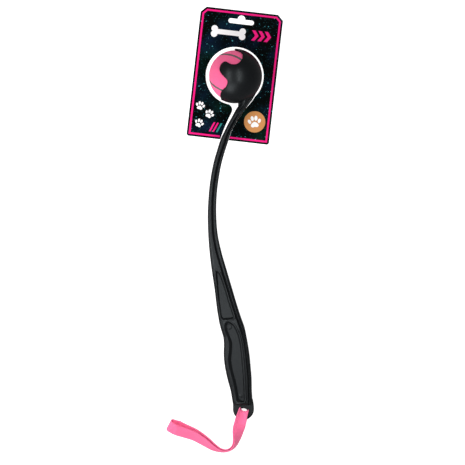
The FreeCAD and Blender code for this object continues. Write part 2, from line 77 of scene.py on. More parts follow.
# Lengths along the arm, measured down from the ball's centre
CUP_RADIUS = 34.7
NECK_LENGTH = 46.0
SHAFT_LENGTH = 166.0
GRIP_LENGTH = 167.7
SHAFT_TOP = -(CUP_RADIUS + NECK_LENGTH)
GRIP_TOP = SHAFT_TOP - SHAFT_LENGTH
HEEL = GRIP_TOP - GRIP_LENGTH

# Section of the arm: thin on the shaft, swelling into the grip
SHAFT_WIDTH = 10.3
GRIP_WIDTH = 32.7
SHAFT_THICKNESS = 14.5
GRIP_THICKNESS = 24.0
SHAFT_CORNER = 3.4
GRIP_CORNER = 5.0
RIGHT_CORNER = 2.0
RIGHT_CORNER_GAIN = 2.2
WIDEST_CORNER = 0.45
SWELL_TOP = GRIP_TOP + 75.0
SWELL_FOOT = GRIP_TOP - 80.0
ROOT = -19.8

# Tab at the end of the grip, and the hole for the strap
TAB_RADIUS = 13.3
TAB_THICKNESS = 10.0
TAB_EDGE = 1.6
SHOULDER = 1.7
TAB_X = 11.1
TAB_Y = HEEL - 8.3
HOLE_RADIUS = 6.0
HOLE_Y = TAB_Y - 4.7
HOLE_EDGE = 1.0
TAB_ROWS = 121
EDGE_COLUMNS = 6
FLAT_COLUMNS = 10
HEEL_ROUND = 2.2

# Columns over the arm's left edge, face, groove and right edge; steps between its rows, and the
# height below which they are fine
ARM_COLUMNS = (8, 50, 14, 11)
NECK_STEP = 0.9
SHAFT_STEP = 1.7
GRIP_STEP = 0.62
FINE_TOP = GRIP_TOP + 12.0

# Start of the groove, the length over which it deepens, its reach in half widths, its shape
GROOVE_TOP = 1.5 - CUP_RADIUS
GROOVE_FADE = 7.0
GROOVE_SHOULDER = 2.2
GROOVE_POWER = 2.4

# Middle line, width and groove down the arm, one row for each station:
# y, middle, width, distance of the groove from the right edge
NECK_ROWS = [
    (ROOT, 22.7, 10.3, 5.6),
    (-29.9, 17.0, 10.6, 5.6),
    (-40.0, 9.0, 11.4, 5.6),
    (-50.2, 2.5, 9.9, 4.3),
    (-60.4, -3.6, 9.0, 3.6),
    (-70.5, -8.7, 8.8, 3.5),
]
# Shaft and grip: share of the length, middle line, share of the extra width, groove
SHAFT_ROWS = [
    (0.0, -12.7, 0.0, 3.8),
    (0.081, -17.1, 0.0, 4.1),
    (0.172, -21.4, 0.0, 4.3),
    (0.31, -25.7, 0.0, 4.6),
    (0.448, -28.1, 0.0, 4.7),
    (0.586, -28.7, 0.03, 4.8),
    (0.724, -27.5, 0.08, 5.4),
    (0.862, -24.2, 0.22, 5.9),
]
GRIP_ROWS = [
    (0.0, -19.5, 0.39, 5.8),
    (0.137, -14.4, 0.54, 5.6),
    (0.273, -9.6, 0.72, 5.5),
    (0.365, -5.9, 0.84, 5.2),
    (0.411, -3.7, 0.895, 5.1),
    (0.456, -1.6, 0.895, 4.7),
    (0.502, 0.3, 0.86, 4.0),
    (0.55, 1.4, 0.89, 3.5),
    (0.636, 2.4, 1.0, 3.8),
    (0.727, 3.9, 1.0, 3.7),
    (0.818, 6.1, 0.91, 3.6),
    (0.909, 8.3, 0.745, 3.6),
    (1.0, 10.1, 0.67, 4.2),
]
# Horn that spreads the neck onto the cup: y, middle line, half width, half thickness
HORN_ROWS = [
    (-24.0, 17.0, 4.4, 15.3),
    (-31.2, 13.4, 4.8, 13.2),
    (-38.7, 9.8, 4.8, 10.6),
    (-46.7, 4.6, 4.4, 8.2),
    (-56.7, -1.5, 3.6, 7.3),
]

# Lip of the cup seen from the side, in shares of the cup's radius, from top to bottom
LIP_POINTS = [
    (-0.17, 1.04), (-0.01, 1.0), (0.145, 0.955), (0.27, 0.88), (0.305, 0.785), (0.25, 0.64),
    (0.09, 0.505), (-0.13, 0.488), (-0.35, 0.58), (-0.5, 0.495), (-0.565, 0.305), (-0.5, 0.14),
    (-0.322, -0.042), (-0.27, -0.186), (-0.338, -0.373), (-0.472, -0.503), (-0.538, -0.676),
    (-0.505, -0.87), (-0.46, -1.0),
]
# Steps along the lip's line and columns made of them, rows over the outside and the inside, hub
LIP_STEPS = 1200
LIP_COLUMNS = 140
OUTER_ROWS = 76
INNER_ROWS = 40
CUP_HUB_ANGLE = math.radians(-40.0)

# Pockets in the grip: share of the grip's length, share of the way from the left edge to the groove
TRIANGLE_POCKET = [
    (0.0, 0.42), (0.015, 0.36), (0.13, 0.21), (0.24, 0.155), (0.33, 0.135), (0.356, 0.165),
    (0.368, 0.26), (0.358, 0.75), (0.335, 0.86), (0.24, 0.845), (0.13, 0.815), (0.03, 0.72),
]
CURVED_POCKET = [
    (0.385, 0.44), (0.41, 0.255), (0.455, 0.19), (0.5, 0.215), (0.546, 0.27), (0.6, 0.255),
    (0.665, 0.205), (0.73, 0.205), (0.8, 0.235), (0.88, 0.255), (0.95, 0.25), (0.983, 0.27),
    (0.99, 0.34), (0.99, 0.64), (0.983, 0.72), (0.95, 0.74), (0.85, 0.765), (0.73, 0.795),
    (0.6, 0.8), (0.52, 0.79), (0.46, 0.775), (0.405, 0.68),
]
# Raised round marks in the long pocket: share of the length, share across, radius
MARKS = [(0.422, 0.44, 3.4), (0.947, 0.52, 1.8)]
MARK_HEIGHT = 0.5
MARK_SLOPE = 0.8
# Width of the pockets' sloping walls and their start outside the line, place and width of the rims
LEFT_SLOPES = (2.0, 3.4)
RIGHT_SLOPE = 1.6
SLOPE_START = 0.2
RIM_PLACE = 1.15
RIM_WIDTH = 0.75
# How far the grip's face falls towards its edges
LEFT_CROWN = 1.6
RIGHT_CROWN = 2.8

# Soft foot of the neck on the cup: its height, its spread as a share of that, and how deep the
# neck's skin goes into the cup's wall
FOOT_BLEND = 2.6
FOOT_SPREAD = 0.8
FOOT_SINK = 0.9
# Web in the corner between the cup and the arm's left edge
GUSSET = [(4.3, -40.0), (4.3, -34.2), (11.5, -29.8), (17.0, -29.9), (9.0, -40.0)]
GUSSET_HALF = 3.0
GUSSET_EDGE = 0.7

# Felt: depth of the skin that gets the nap, rounding of its edges and share of the nap there,
# sizes of fine and coarse tufts and share of the coarse ones
FELT_SKIN = 1.6
FELT_EDGE = 0.35
EDGE_NAP = 0.35
FINE_TUFTS = 0.9
COARSE_TUFTS = 4.0
COARSE_SHARE = 0.8

# Route of the strap's upper layer from the hole to the fold: x and y from the hole, roll in
# degrees, share of the tab's thickness between the layers, lift of the lower layer, gap, side shift
STRAP_ROUTE = [
    (-2.8, -7.5, 0, 1.0, 1.0, 2.0, 0.0),
    (-4.4, -14.0, 6, 0.95, 0.95, 2.0, 0.0),
    (-6.2, -22.0, 26, 0.7, 0.8, 2.0, 0.0),
    (-7.3, -29.6, 48, 0.35, 0.0, 2.0, 0.0),
    (-8.6, -36.0, 66, 0.12, 0.0, 2.0, 0.0),
    (-11.1, -42.3, 80, 0.02, 0.0, 2.0, 0.0),
    (-16.2, -47.0, 88, 0.0, 0.0, 2.0, 0.0),
    (-22.9, -49.0, 88, 0.0, 0.0, 2.0, 0.0),
    (-30.6, -47.9, 80, 0.0, 0.0, 2.2, 0.0),
    (-39.1, -44.2, 67, 0.0, 0.0, 2.7, 0.5),
    (-49.2, -37.4, 54, 0.0, 0.0, 3.1, 0.8),
    (-61.9, -29.7, 42, 0.0, 0.0, 3.6, 1.2),
    (-74.7, -25.2, 36, 0.0, 0.0, 5.0, 1.9),
    (-84.8, -22.0, 34, 0.0, 0.0, 7.4, 2.3),
    (-91.5, -18.6, 33, 0.0, 0.0, 6.4, 1.2),
]
ROUTE_STEPS = 57
STATION_STEPS = 12
LAP_START = 8.5
LAP_END = 17.5
LAP_EASE = 5.0
LAP_GAP = 0.15
# Clearance over the table and beside the tab, place and width direction of the turn in the hole
TABLE_GAP = 0.36
TAB_GAP = 0.6
TURN_X = -0.3
TURN_SIDE = Vector((-0.94, 0.34, 0))
# Curl of the webbing: where it is flat, at its hidden end, where it leaves the hole and over how
# many sections it opens there, and how far the fold reaches
FLAT_CURL = 0.05
END_CURL = 0.35
LEAVING_CURL = 0.75
LEAVING_SECTIONS = 9
FOLD_REACH = 1.15
# Step between rows along the webbing, columns across one face, roundness of its edges
STRAP_STEP = 0.375
FACE_COLUMNS = 43
EDGE_SHARE = 0.7
# Stitches of the bar tack: count, pitch, lean in degrees, half sizes, distance from the middle
STITCHES = 21
STITCH_PITCH = 0.52
STITCH_LEAN = 9
STITCH_HALF = (0.26, 1.5, 0.15)
STITCH_LEVEL = 1.62

# Board, in its own frame: x across, y up, origin near the middle of its window
BOARD_TURN = math.radians(-6.58)
BOARD_SHIFT = (0.3, 0.65)
BOARD_HALF = (52.5, 82.5)
BOARD_THICKNESS = 0.7
CORNER_CUT = 7.0
# Where the border line ends on the lower edge, left and right of the slot
BORDER_ENDS = (-10.3, 2.6)
# Strip along the slot: its two ends on the arm, its outer edge's distance from the stick, its
# inner edge's at the top, how much nearer that comes and over what length, its play, its steps
STRIP_TOP = -34.0
STRIP_FOOT = -125.0
STRIP_OUTER = 1.8
STRIP_START = 1.0
STRIP_NEARING = 0.8
STRIP_EASE = 8.0
STRIP_PLAY = 0.02
STRIP_PLACES = 70
# Its last point over the board's lower edge, and how far left of that it ends on the edge
FOOT_GAP = 0.05
FOOT_RUN = 0.3
# Printed bone: its height in radii of a knob, and the bar's half height in the same
BONE_KNOB = 3.6
BONE_BAR = 0.75

# Even light from all round, and lamps: place, what they aim at, sizes in metres, power in watts
WORLD_LIGHT = 0.19
LAMPS = {
    "grip_softbox": ((-0.17, -0.14, 0.4), (-0.17, -0.14, 0), (0.46, 0.24), 0.85),
    "low_softbox": ((-0.6, -0.12, 0.26), (0.0, -0.12, 0.02), (0.5, 0.3), 1.3),
    "left_strip": ((-0.437, 0.195, 1.0), (0.013, 0.195, 0.035), (0.85, 0.1), 4.0),
    "right_strip": ((0.345, 0.195, 1.0), (0.013, 0.195, 0.035), (0.85, 0.1), 4.0),
    "strap_softbox": ((-0.3, -0.7, 0.55), (-0.02, -0.26, 0), (0.4, 0.4), 2.6),
}
VIEW_WIDTH = 0.589
VIEW_FROM = (10.2 * MM, -3.73 * MM, 2.0)
FLOOR_HALF = 3.0
FLOOR_DROP = 0.15 * MM

# Closest points that still count as two
WELD = 0.0005 * MM
CAD_WELD = 0.001 * MM


# Small helpers


def smooth(keys, values, wanted):
    """Smooth values at the wanted places, through given ones."""
    keys = np.asarray(keys, float)
    values = np.asarray(values, float)
    wanted = np.asarray(wanted, float)
    slopes = np.gradient(values, keys, axis=0)
    index = np.clip(np.searchsorted(keys, wanted) - 1, 0, len(keys) - 2)
    span = keys[index + 1] - keys[index]
    t = (wanted - keys[index]) / span
    if values.ndim > 1:
        t = t[:, None]
        span = span[:, None]
    start = (1 + 2 * t) * (1 - t) ** 2 * values[index]
    end = t * t * (3 - 2 * t) * values[index + 1]
    leave = t * (1 - t) ** 2 * span * slopes[index]
    arrive = t * t * (t - 1) * span * slopes[index + 1]
    return start + end + leave + arrive


def ease(share):
    share = np.clip(share, 0, 1)
    return share * share * (3 - 2 * share)


def unit(rows):
    return rows / np.linalg.norm(rows, axis=-1, keepdims=True)


def travelled(points):
    """Way along the points, up to each of them."""
    return np.concatenate([[0], np.cumsum(np.linalg.norm(np.diff(points, axis=0), axis=1))])


def resampled(places, table, wanted):
    """Rows of the table at the wanted places, on straight lines between the given ones."""
    return np.column_stack([np.interp(wanted, places, column) for column in table.T])


def in_mm(name):
    """One of the launcher's sizes, in millimetres."""
    return getattr(bpy.context.scene.launcher_sizes, name) / MM


def arm_to_world(points):
    """From the arm's flat frame, in millimetres, to the frame's own place, in metres."""
    return points @ ARM_TURN.T * MM + np.array(BALL_CENTRE)


def board_to_world(points):
    """From the board's own frame, in millimetres, to the table, in metres."""
    turn = np.array(Matrix.Rotation(BOARD_TURN, 3, "Z"))
    shifted = np.asarray(points, float) + np.array([*BOARD_SHIFT, 0.0])
    return shifted @ turn.T * MM + np.array([BALL_CENTRE.x, BALL_CENTRE.y, 0.0])


def moved(bm, to_world):
    """Takes a mesh from the arm's or the board's own frame to its place."""
    for vertex in bm.verts:
        vertex.co = to_world(np.array(vertex.co))


def mesh_object(name, bm):
    """Turns a bmesh into an object of the scene."""
    mesh = bpy.data.meshes.new(name)
    bm.to_mesh(mesh)
    bm.free()
    made = bpy.data.objects.new(name, mesh)
    bpy.context.scene.collection.objects.link(made)
    return made


def finished_piece(name, bm, material, body, sharp=40.0):
    """Turns a bmesh into a piece that rides on a body and has its finish."""
    piece = mesh_object(name, bm)
    piece.data.shade_smooth()
    piece.data.set_sharp_from_angle(angle=math.radians(sharp))
    piece.data.materials.append(material)
    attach(piece, body)
    return piece


def wrapped_grid(bm, places, tags=()):
    """Adds a skin to bm: a grid whose columns go round and whose rows go along, set in place."""
    rows, columns = places.shape[0] - 1, places.shape[1]
    made = bmesh.ops.create_grid(bm, x_segments=columns, y_segments=rows, size=0.5)
    for vertex in made["verts"]:
        row = round((vertex.co.y + 0.5) * rows)
        column = round((vertex.co.x + 0.5) * columns) % columns
        vertex.co = places[row, column]
        for tag, value in zip(tags, (row, column)):
            vertex[tag] = value
    bmesh.ops.remove_doubles(bm, verts=made["verts"], dist=WELD)
    verts = [vertex for vertex in made["verts"] if vertex.is_valid]
    edges = {edge for vertex in verts for edge in vertex.link_edges if edge.is_boundary}
    if edges:
        bmesh.ops.holes_fill(bm, edges=list(edges), sides=0)
    faces = {face for vertex in verts for face in vertex.link_faces}
    bmesh.ops.recalc_face_normals(bm, faces=list(faces))


def flat_faces(bm, outlines, low):
    """Adds one level face to bm for each outline."""
    return [bm.faces.new([bm.verts.new((x, y, low)) for x, y in outline]) for outline in outlines]


def raise_faces(bm, faces, height):
    """Raises level faces into plates."""
    raised = bmesh.ops.extrude_face_region(bm, geom=faces)["geom"]
    lifted = [part for part in raised if isinstance(part, bmesh.types.BMVert)]
    bmesh.ops.translate(bm, verts=lifted, vec=(0, 0, height))


# Finishes

# How deep a material's bump is read, in metres
BUMP_REACH = 0.0001

# Grained finishes: colour, grain's scale and depth, roughness, spread and scale of the tone
PLAIN_TONE = (0.12, 60.0, {})
INK_FINISH = (1800.0, 0.06, (0.4, 0.5), 0.05, 90.0, {"Specular_IOR_Level": 0.08})
PLASTIC_SHINE = {"Specular_IOR_Level": 0.25, "Specular_Tint": (0.88, 0.96, 1.0, 1.0)}
FELT_SHINE = {"Sheen_Weight": 0.08, "Sheen_Roughness": 0.6, "Specular_IOR_Level": 0.1}
GRAINED = {
    "moulded_plastic": ("plastic", 2600.0, 0.22, (0.3, 0.4), 0.15, 25.0, PLASTIC_SHINE),
    "pink_felt": ("felt", 1500.0, 0.9, (0.9, 1.0), 0.1, 700.0, FELT_SHINE),
    "seam_rubber": ("seam", 1200.0, 0.3, (0.6, 0.8), *PLAIN_TONE),
    "ball_rubber": ("rubber", 900.0, 0.4, (0.7, 0.9), *PLAIN_TONE),
    "pink_thread": ("webbing", 4000.0, 0.5, (0.5, 0.7), *PLAIN_TONE),
    **{name: (name, *INK_FINISH) for name in ("pink_ink", "white_ink", "tan_ink", "teal_ink")},
}
# Fine and coarse specks of the print: scale, share of cells left bare, size, strength
SPECKS = [(640.0, 0.3, 0.36, 0.25), (280.0, 0.58, 0.33, 1.0)]


def add(tree, kind, inputs=(), **settings):
    """Adds a shader node with its settings, and fills its sockets with values or links."""
    made = tree.nodes.new(kind)
    for name, value in settings.items():
        setattr(made, name, value)
    for name, value in dict(inputs).items():
        if isinstance(value, bpy.types.NodeSocket):
            tree.links.new(value, made.inputs[name])
        else:
            made.inputs[name].default_value = value
    return made


def noise_tone(tree, place, scale, detail=2.0, roughness=0.5):
    values = {"Vector": place, "Scale": scale, "Detail": detail, "Roughness": roughness}
    return add(tree, "ShaderNodeTexNoise", values).outputs[0]


def reckoned(tree, operation, first, second=0.5):
    return add(tree, "ShaderNodeMath", {0: first, 1: second}, operation=operation).outputs[0]


def ranged(tree, value, low=0.0, high=1.0, to_low=0.0, to_high=1.0):
    values = {"Value": value, "From Min": low, "From Max": high}
    values.update({"To Min": to_low, "To Max": to_high})
    return add(tree, "ShaderNodeMapRange", values).outputs[0]


def mixed(tree, share, low, high):
    return add(tree, "ShaderNodeMix", {0: share, 6: low, 7: high}, data_type="RGBA").outputs[2]


def bumped(tree, height, strength):
    values = {"Strength": strength, "Distance": BUMP_REACH, "Height": height}
    return add(tree, "ShaderNodeBump", values).outputs[0]


def new_group(name, numbers, mask):
    """Node group that takes numbers and puts out a mask and a normal, and its given values."""
    group = bpy.data.node_groups.new(name, "ShaderNodeTree")
    for label, value in numbers.items():
        socket = group.interface.new_socket(label, in_out="INPUT", socket_type="NodeSocketFloat")
        socket.default_value = value
    for label, kind in ((mask, "NodeSocketFloat"), ("Normal", "NodeSocketVector")):
        group.interface.new_socket(label, in_out="OUTPUT", socket_type=kind)
    return group, add(group, "NodeGroupInput").outputs


def grain_group(name):
    """Fine moulded or pressed grain: a tone that varies slowly and a bumped normal."""
    numbers = {"Grain Scale": 2200.0, "Grain Depth": 0.3, "Tone Scale": 60.0}
    group, given = new_group(name, numbers, "Tone")
    place = add(group, "ShaderNodeTexCoord").outputs["Object"]
    fine = noise_tone(group, place, given["Grain Scale"], 3.0, 0.6)
    slow = noise_tone(group, place, given["Tone Scale"], 4.0)
    normal = bumped(group, fine, given["Grain Depth"])
    add(group, "NodeGroupOutput", {"Tone": slow, "Normal": normal})
    return group


def weave_group(name):
    """Plain weave over a UV map in threads: a mask of the raised threads and a bumped normal."""
    group, given = new_group(name, {"Across": 14.0, "Along": 192.0, "Depth": 0.6}, "Raised")
    uv = add(group, "ShaderNodeUVMap", uv_map="webbing").outputs[0]
    split = add(group, "ShaderNodeSeparateXYZ", {"Vector": uv})
    waves = []
    for part, count in zip(split.outputs, ("Across", "Along")):
        threads = reckoned(group, "MULTIPLY", part, given[count])
        waves.append(reckoned(group, "SINE", reckoned(group, "MULTIPLY", threads, math.pi)))
    check = reckoned(group, "MULTIPLY", *waves)
    fuzz = reckoned(group, "MULTIPLY", noise_tone(group, uv, 900.0), 0.6)
    normal = bumped(group, reckoned(group, "ADD", check, fuzz), given["Depth"])
    add(group, "NodeGroupOutput", {"Raised": ranged(group, check, low=-1.0), "Normal": normal})
    return group


def placed_group(tree, name, build, values=()):
    """Outputs of a node group in a material; the group is built once."""
    group = bpy.data.node_groups.get(name) or build(name)
    return add(tree, "ShaderNodeGroup", values, node_tree=group).outputs


def new_material(name, roughness=0.5, **constants):
    """Material with its Principled shader, whose constants are set on its own sockets."""
    material = bpy.data.materials.new(name)
    material.use_nodes = True
    tree = material.node_tree
    shader = tree.nodes["Principled BSDF"]
    shader.inputs["Roughness"].default_value = roughness
    for label, value in constants.items():
        shader.inputs[label.replace("_", " ")].default_value = value
    return material, tree, shader


def rgba(colour, gain=1.0):
    return (*[channel * gain for channel in colour], 1.0)


def tone_to_colour(tree, shader, tone, low, high):
    tree.links.new(mixed(tree, tone, low, high), shader.inputs["Base Color"])


def tone_to_roughness(tree, shader, tone, low, high):
    tree.links.new(ranged(tree, tone, to_low=low, to_high=high), shader.inputs["Roughness"])


def grained_material(name):
    """Finish with a fine grain, a slight change of tone and a slight change of gloss."""
    label, scale, depth, rough, spread, tone_scale, constants = GRAINED[name]
    colour = getattr(bpy.context.scene.launcher_colours, label)
    material, tree, shader = new_material(name, **constants)
    values = {"Grain Scale": scale, "Grain Depth": depth, "Tone Scale": tone_scale}
    grain = placed_group(tree, "surface_grain", grain_group, values)
    low, high = rgba(colour, 1 - spread), rgba(colour, 1 + spread)
    tone_to_colour(tree, shader, grain["Tone"], low, high)
    tone_to_roughness(tree, shader, grain["Tone"], *rough)
    tree.links.new(grain["Normal"], shader.inputs["Normal"])
    return material


def webbing_material():
    colour = bpy.context.scene.launcher_colours.webbing
    material, tree, shader = new_material(
        "pink_webbing", Specular_IOR_Level=0.2, Sheen_Weight=0.06, Sheen_Roughness=0.5
    )
    weave = placed_group(tree, "plain_weave", weave_group)
    tone_to_colour(tree, shader, weave["Raised"], rgba(colour, 0.86), rgba(colour, 1.05))
    tone_to_roughness(tree, shader, weave["Raised"], 0.85, 0.65)
    tree.links.new(weave["Normal"], shader.inputs["Normal"])
    return material


def print_material():
    """Coated board: a dark speckled print on top, bare paper on its edges and back."""
    colours = bpy.context.scene.launcher_colours
    material, tree, shader = new_material("printed_board", Specular_IOR_Level=0.02)
    place = add(tree, "ShaderNodeTexCoord").outputs["Object"]
    region = ranged(tree, noise_tone(tree, place, 9.0, 1.0), 0.44, 0.56)
    tint = mixed(tree, region, rgba(colours.night_blue), rgba(colours.night_green))
    veil = ranged(tree, noise_tone(tree, place, 30.0, 6.0), 0.45, 0.75)
    printed = mixed(tree, veil, rgba(colours.ground), tint)
    for scale, least, most, gain in SPECKS:
        cells = add(tree, "ShaderNodeTexVoronoi", {"Vector": place, "Scale": scale}).outputs
        reach = ranged(tree, cells["Color"], least, to_high=most)
        speck = reckoned(tree, "LESS_THAN", cells["Distance"], reach)
        printed = mixed(tree, speck, printed, rgba(colours.speck, gain))
    normal = add(tree, "ShaderNodeNewGeometry").outputs["Normal"]
    up = add(tree, "ShaderNodeSeparateXYZ", {"Vector": normal}).outputs[2]
    top = reckoned(tree, "GREATER_THAN", up)
    fibres = noise_tone(tree, place, 900.0, 4.0)
    paper = mixed(tree, fibres, (0.62, 0.6, 0.56, 1), (0.8, 0.79, 0.76, 1))
    tone_to_colour(tree, shader, top, paper, printed)
    tone_to_roughness(tree, shader, top, 0.9, 0.35)
    tree.links.new(bumped(tree, fibres, 0.08), shader.inputs["Normal"])
    return material


def dress(node, material):
    """Gives a solid of the frame its finish."""
    for slot in frame["nodes"][node].material_slots:
        slot.material = material


# Launcher moulding


def swell(y):
    return ease((y - SWELL_TOP) / (SWELL_FOOT - SWELL_TOP))


def arm_stations():
    """Rows of y, middle, width and groove distance from the cup to the heel."""
    rows = list(NECK_ROWS)
    parts = ((SHAFT_ROWS, SHAFT_TOP, SHAFT_LENGTH), (GRIP_ROWS, GRIP_TOP, GRIP_LENGTH))
    for table, top, length in parts:
        for share, middle, extra, groove in table:
            width = SHAFT_WIDTH + (GRIP_WIDTH - SHAFT_WIDTH) * extra
            rows.append((top - share * length, middle, width, groove))
    return np.array(rows)


ARM_STATIONS = arm_stations()


def arm_row(y):
    """Middle, width and groove distance of the arm at heights y."""
    values = smooth(-ARM_STATIONS[:, 0], ARM_STATIONS[:, 1:], -np.atleast_1d(y))
    return values[:, 0], values[:, 1], values[:, 2]


def arm_heights():
    """Heights of the arm's rows: fine where the pockets are, coarser down the shaft."""
    neck = np.arange(ROOT, SHAFT_TOP, -NECK_STEP)
    shaft = np.arange(SHAFT_TOP, FINE_TOP, -SHAFT_STEP)
    grip = np.arange(FINE_TOP, HEEL, -GRIP_STEP)
    return np.concatenate([neck, shaft, grip, [HEEL]])


def arm_columns(half_width, corner, groove_x, groove_width):
    """Places across the face, from left edge to right edge, close together at edges and groove."""
    at_left, on_face, in_groove, at_right = ARM_COLUMNS
    turn = np.linspace(0, math.pi / 2, at_left, endpoint=False)
    left = -half_width + corner * (1 - np.cos(turn))
    start = groove_x - GROOVE_SHOULDER * groove_width
    end = groove_x + GROOVE_SHOULDER * groove_width
    face = np.linspace(corner - half_width, start, on_face, endpoint=False)
    groove = np.linspace(start, end, in_groove, endpoint=False)
    right = end + (half_width - end) * np.sin(np.linspace(0, math.pi / 2, at_right))
    return np.concatenate([left, face, groove, right])


def closed_outline(points, steps=6):
    """Smooth closed outline through the points."""
    count = len(points)
    keys = np.arange(-2, count + 3)
    values = np.array([points[key % count] for key in keys])
    return smooth(keys, values, np.arange(0, count, 1.0 / steps))


def signed_distance(outline, x, y):
    """Distance of every point to the outline, positive inside it."""
    nearest = np.full(x.shape, 1e9)
    inside = np.zeros(x.shape, bool)
    for (ax, ay), (bx, by) in zip(outline, np.roll(outline, -1, axis=0)):
        dx, dy = bx - ax, by - ay
        share = np.clip(((x - ax) * dx + (y - ay) * dy) / (dx * dx + dy * dy + 1e-12), 0, 1)
        nearest = np.minimum(nearest, np.hypot(x - ax - share * dx, y - ay - share * dy))
        crosses = (ay > y) != (by > y)
        with np.errstate(divide="ignore", invalid="ignore"):
            beyond = x < ax + (y - ay) * dx / dy
        inside ^= crosses & beyond
    return np.where(inside, nearest, -nearest)


def grip_places(points):
    """Pocket points, given by shares of length and width, as x and y on the grip."""
    shares = np.array(points)
    y = GRIP_TOP - shares[:, 0] * GRIP_LENGTH
    middle, width, groove = arm_row(y)
    left = middle - width / 2
    right = middle + width / 2 - groove
    return np.stack([left + (right - left) * shares[:, 1], y], axis=1)


def grip_middle(y):
    """Middle of the pockets at every height."""
    heights = np.linspace(HEEL, GRIP_TOP, 60)
    middle, _, groove = arm_row(heights)
    return np.interp(y, heights, middle - groove / 2)


def pocket_relief(x, y):
    """Share of the pockets' depth over the grip's face, and height of the rims and marks."""
    sunk = np.zeros(x.shape)
    raised = np.zeros(x.shape)
    for pocket, left_slope in zip((TRIANGLE_POCKET, CURVED_POCKET), LEFT_SLOPES):
        distance = signed_distance(closed_outline(grip_places(pocket)), x, y)
        slope = np.where(x < grip_middle(y), left_slope, RIGHT_SLOPE)
        sunk = np.maximum(sunk, np.clip((distance + SLOPE_START) / slope, 0, 1))
        raised += in_mm("rim_height") * np.exp(-(((distance + RIM_PLACE) / RIM_WIDTH) ** 2))
    for share, across, radius in MARKS:
        centre = grip_places([(share, across)])[0]
        away = np.hypot(x - centre[0], y - centre[1])
        raised += MARK_HEIGHT * ease((radius + MARK_SLOPE / 2 - away) / MARK_SLOPE)
    return sunk, raised


def arm_places():
    """Every vertex of the arm's skin, row by row from the cup to the heel."""
    heights = arm_heights()
    middle, width, groove = arm_row(heights)
    swelling = swell(heights)
    half_thickness = SHAFT_THICKNESS / 2 + (GRIP_THICKNESS - SHAFT_THICKNESS) / 2 * swelling
    corner = SHAFT_CORNER + (GRIP_CORNER - SHAFT_CORNER) * swelling
    corner = np.minimum(corner, WIDEST_CORNER * width)
    right_corner = np.minimum(corner, RIGHT_CORNER + RIGHT_CORNER_GAIN * swelling)
    groove_width = in_mm("groove_width") / 2
    groove_depth = in_mm("groove_depth") * ease((GROOVE_TOP - heights) / GROOVE_FADE)
    horn = smooth([-row[0] for row in HORN_ROWS], [row[1:] for row in HORN_ROWS], -heights)
    horn[(heights < HORN_ROWS[-1][0]) | (heights > HORN_ROWS[0][0])] = (0.0, 1.0, 0.0)
    rings_x = []
    rings_z = []
    for row in range(len(heights)):
        half_width = width[row] / 2
        groove_x = half_width - groove[row]
        x = arm_columns(half_width, corner[row], groove_x, groove_width)
        rounding = np.where(x < 0, corner[row], right_corner[row])
        past = np.clip(np.abs(x) - (half_width - rounding), 0, rounding)
        z = half_thickness[row] - rounding + np.sqrt(np.maximum(rounding**2 - past**2, 0))
        crown = np.where(x < 0, LEFT_CROWN, RIGHT_CROWN)
        z -= crown * swelling[row] * (x / half_width) ** 2
        centre, reach, rise = horn[row]
        across = np.clip((x + middle[row] - centre) / reach, -1, 1)
        z = np.maximum(z, rise * np.sqrt(1 - across**2))
        z -= groove_depth[row] * np.exp(-((np.abs(x - groove_x) / groove_width) ** GROOVE_POWER))
        rings_x.append(x + middle[row])
        rings_z.append(z)
    face_x = np.array(rings_x)
    face_z = np.array(rings_z)
    face_y = np.repeat(heights[:, None], face_x.shape[1], axis=1)
    grip = heights < FINE_TOP
    sunk, raised = pocket_relief(face_x[grip], face_y[grip])
    floor = half_thickness[grip, None] - in_mm("pocket_depth")
    face_z[grip] = face_z[grip] * (1 - sunk) + floor * sunk + raised
    wall = face_z[:, :1] * np.array([0.0, 0.5])
    far_wall = face_z[:, -1:] * np.array([0.5])
    half_x = np.concatenate([face_x[:, :1].repeat(2, 1), face_x, face_x[:, -1:]], axis=1)
    half_z = np.concatenate([wall, face_z, far_wall], axis=1)
    ring_x = np.concatenate([half_x, face_x[:, -1:], half_x[:, :0:-1]], axis=1)
    ring_z = np.concatenate([half_z, 0 * far_wall, -half_z[:, :0:-1]], axis=1)
    ring_y = np.repeat(heights[:, None], ring_x.shape[1], axis=1)
    return np.stack([ring_x, ring_y, ring_z], axis=2)


def rounded_end(places, middle):
    """Adds the heel's rounded end below the last row."""
    rows = [places]
    last = places[-1]
    for angle in np.radians([15, 30, 45, 60, 75, 90]):
        shrink = 1 - HEEL_ROUND * (1 - math.cos(angle)) / (GRIP_THICKNESS / 2)
        ring = last.copy()
        ring[:, 0] = middle + (last[:, 0] - middle) * shrink
        ring[:, 2] = last[:, 2] * shrink
        ring[:, 1] = HEEL - HEEL_ROUND * math.sin(angle)
        rows.append(ring[None])
    return np.concatenate(rows)


def kept_out_of_cup(places):
    """Spreads the skin softly onto the cup, and keeps it inside the cup's wall."""
    reach = np.linalg.norm(places, axis=2, keepdims=True)
    middle = places.mean(axis=1, keepdims=True)
    side = places - middle
    outward = places / reach
    side -= outward * (side * outward).sum(axis=2, keepdims=True)
    side /= np.linalg.norm(side, axis=2, keepdims=True) + 1e-9
    rise = np.clip((reach - CUP_RADIUS) / FOOT_BLEND, 0, 1)
    places = places + side * FOOT_BLEND * FOOT_SPREAD * (1 - np.sqrt(1 - (1 - rise) ** 2))
    reach = np.linalg.norm(places, axis=2, keepdims=True)
    inner = CUP_RADIUS - FOOT_SINK
    return places * np.where(reach < inner, inner / reach, 1.0)


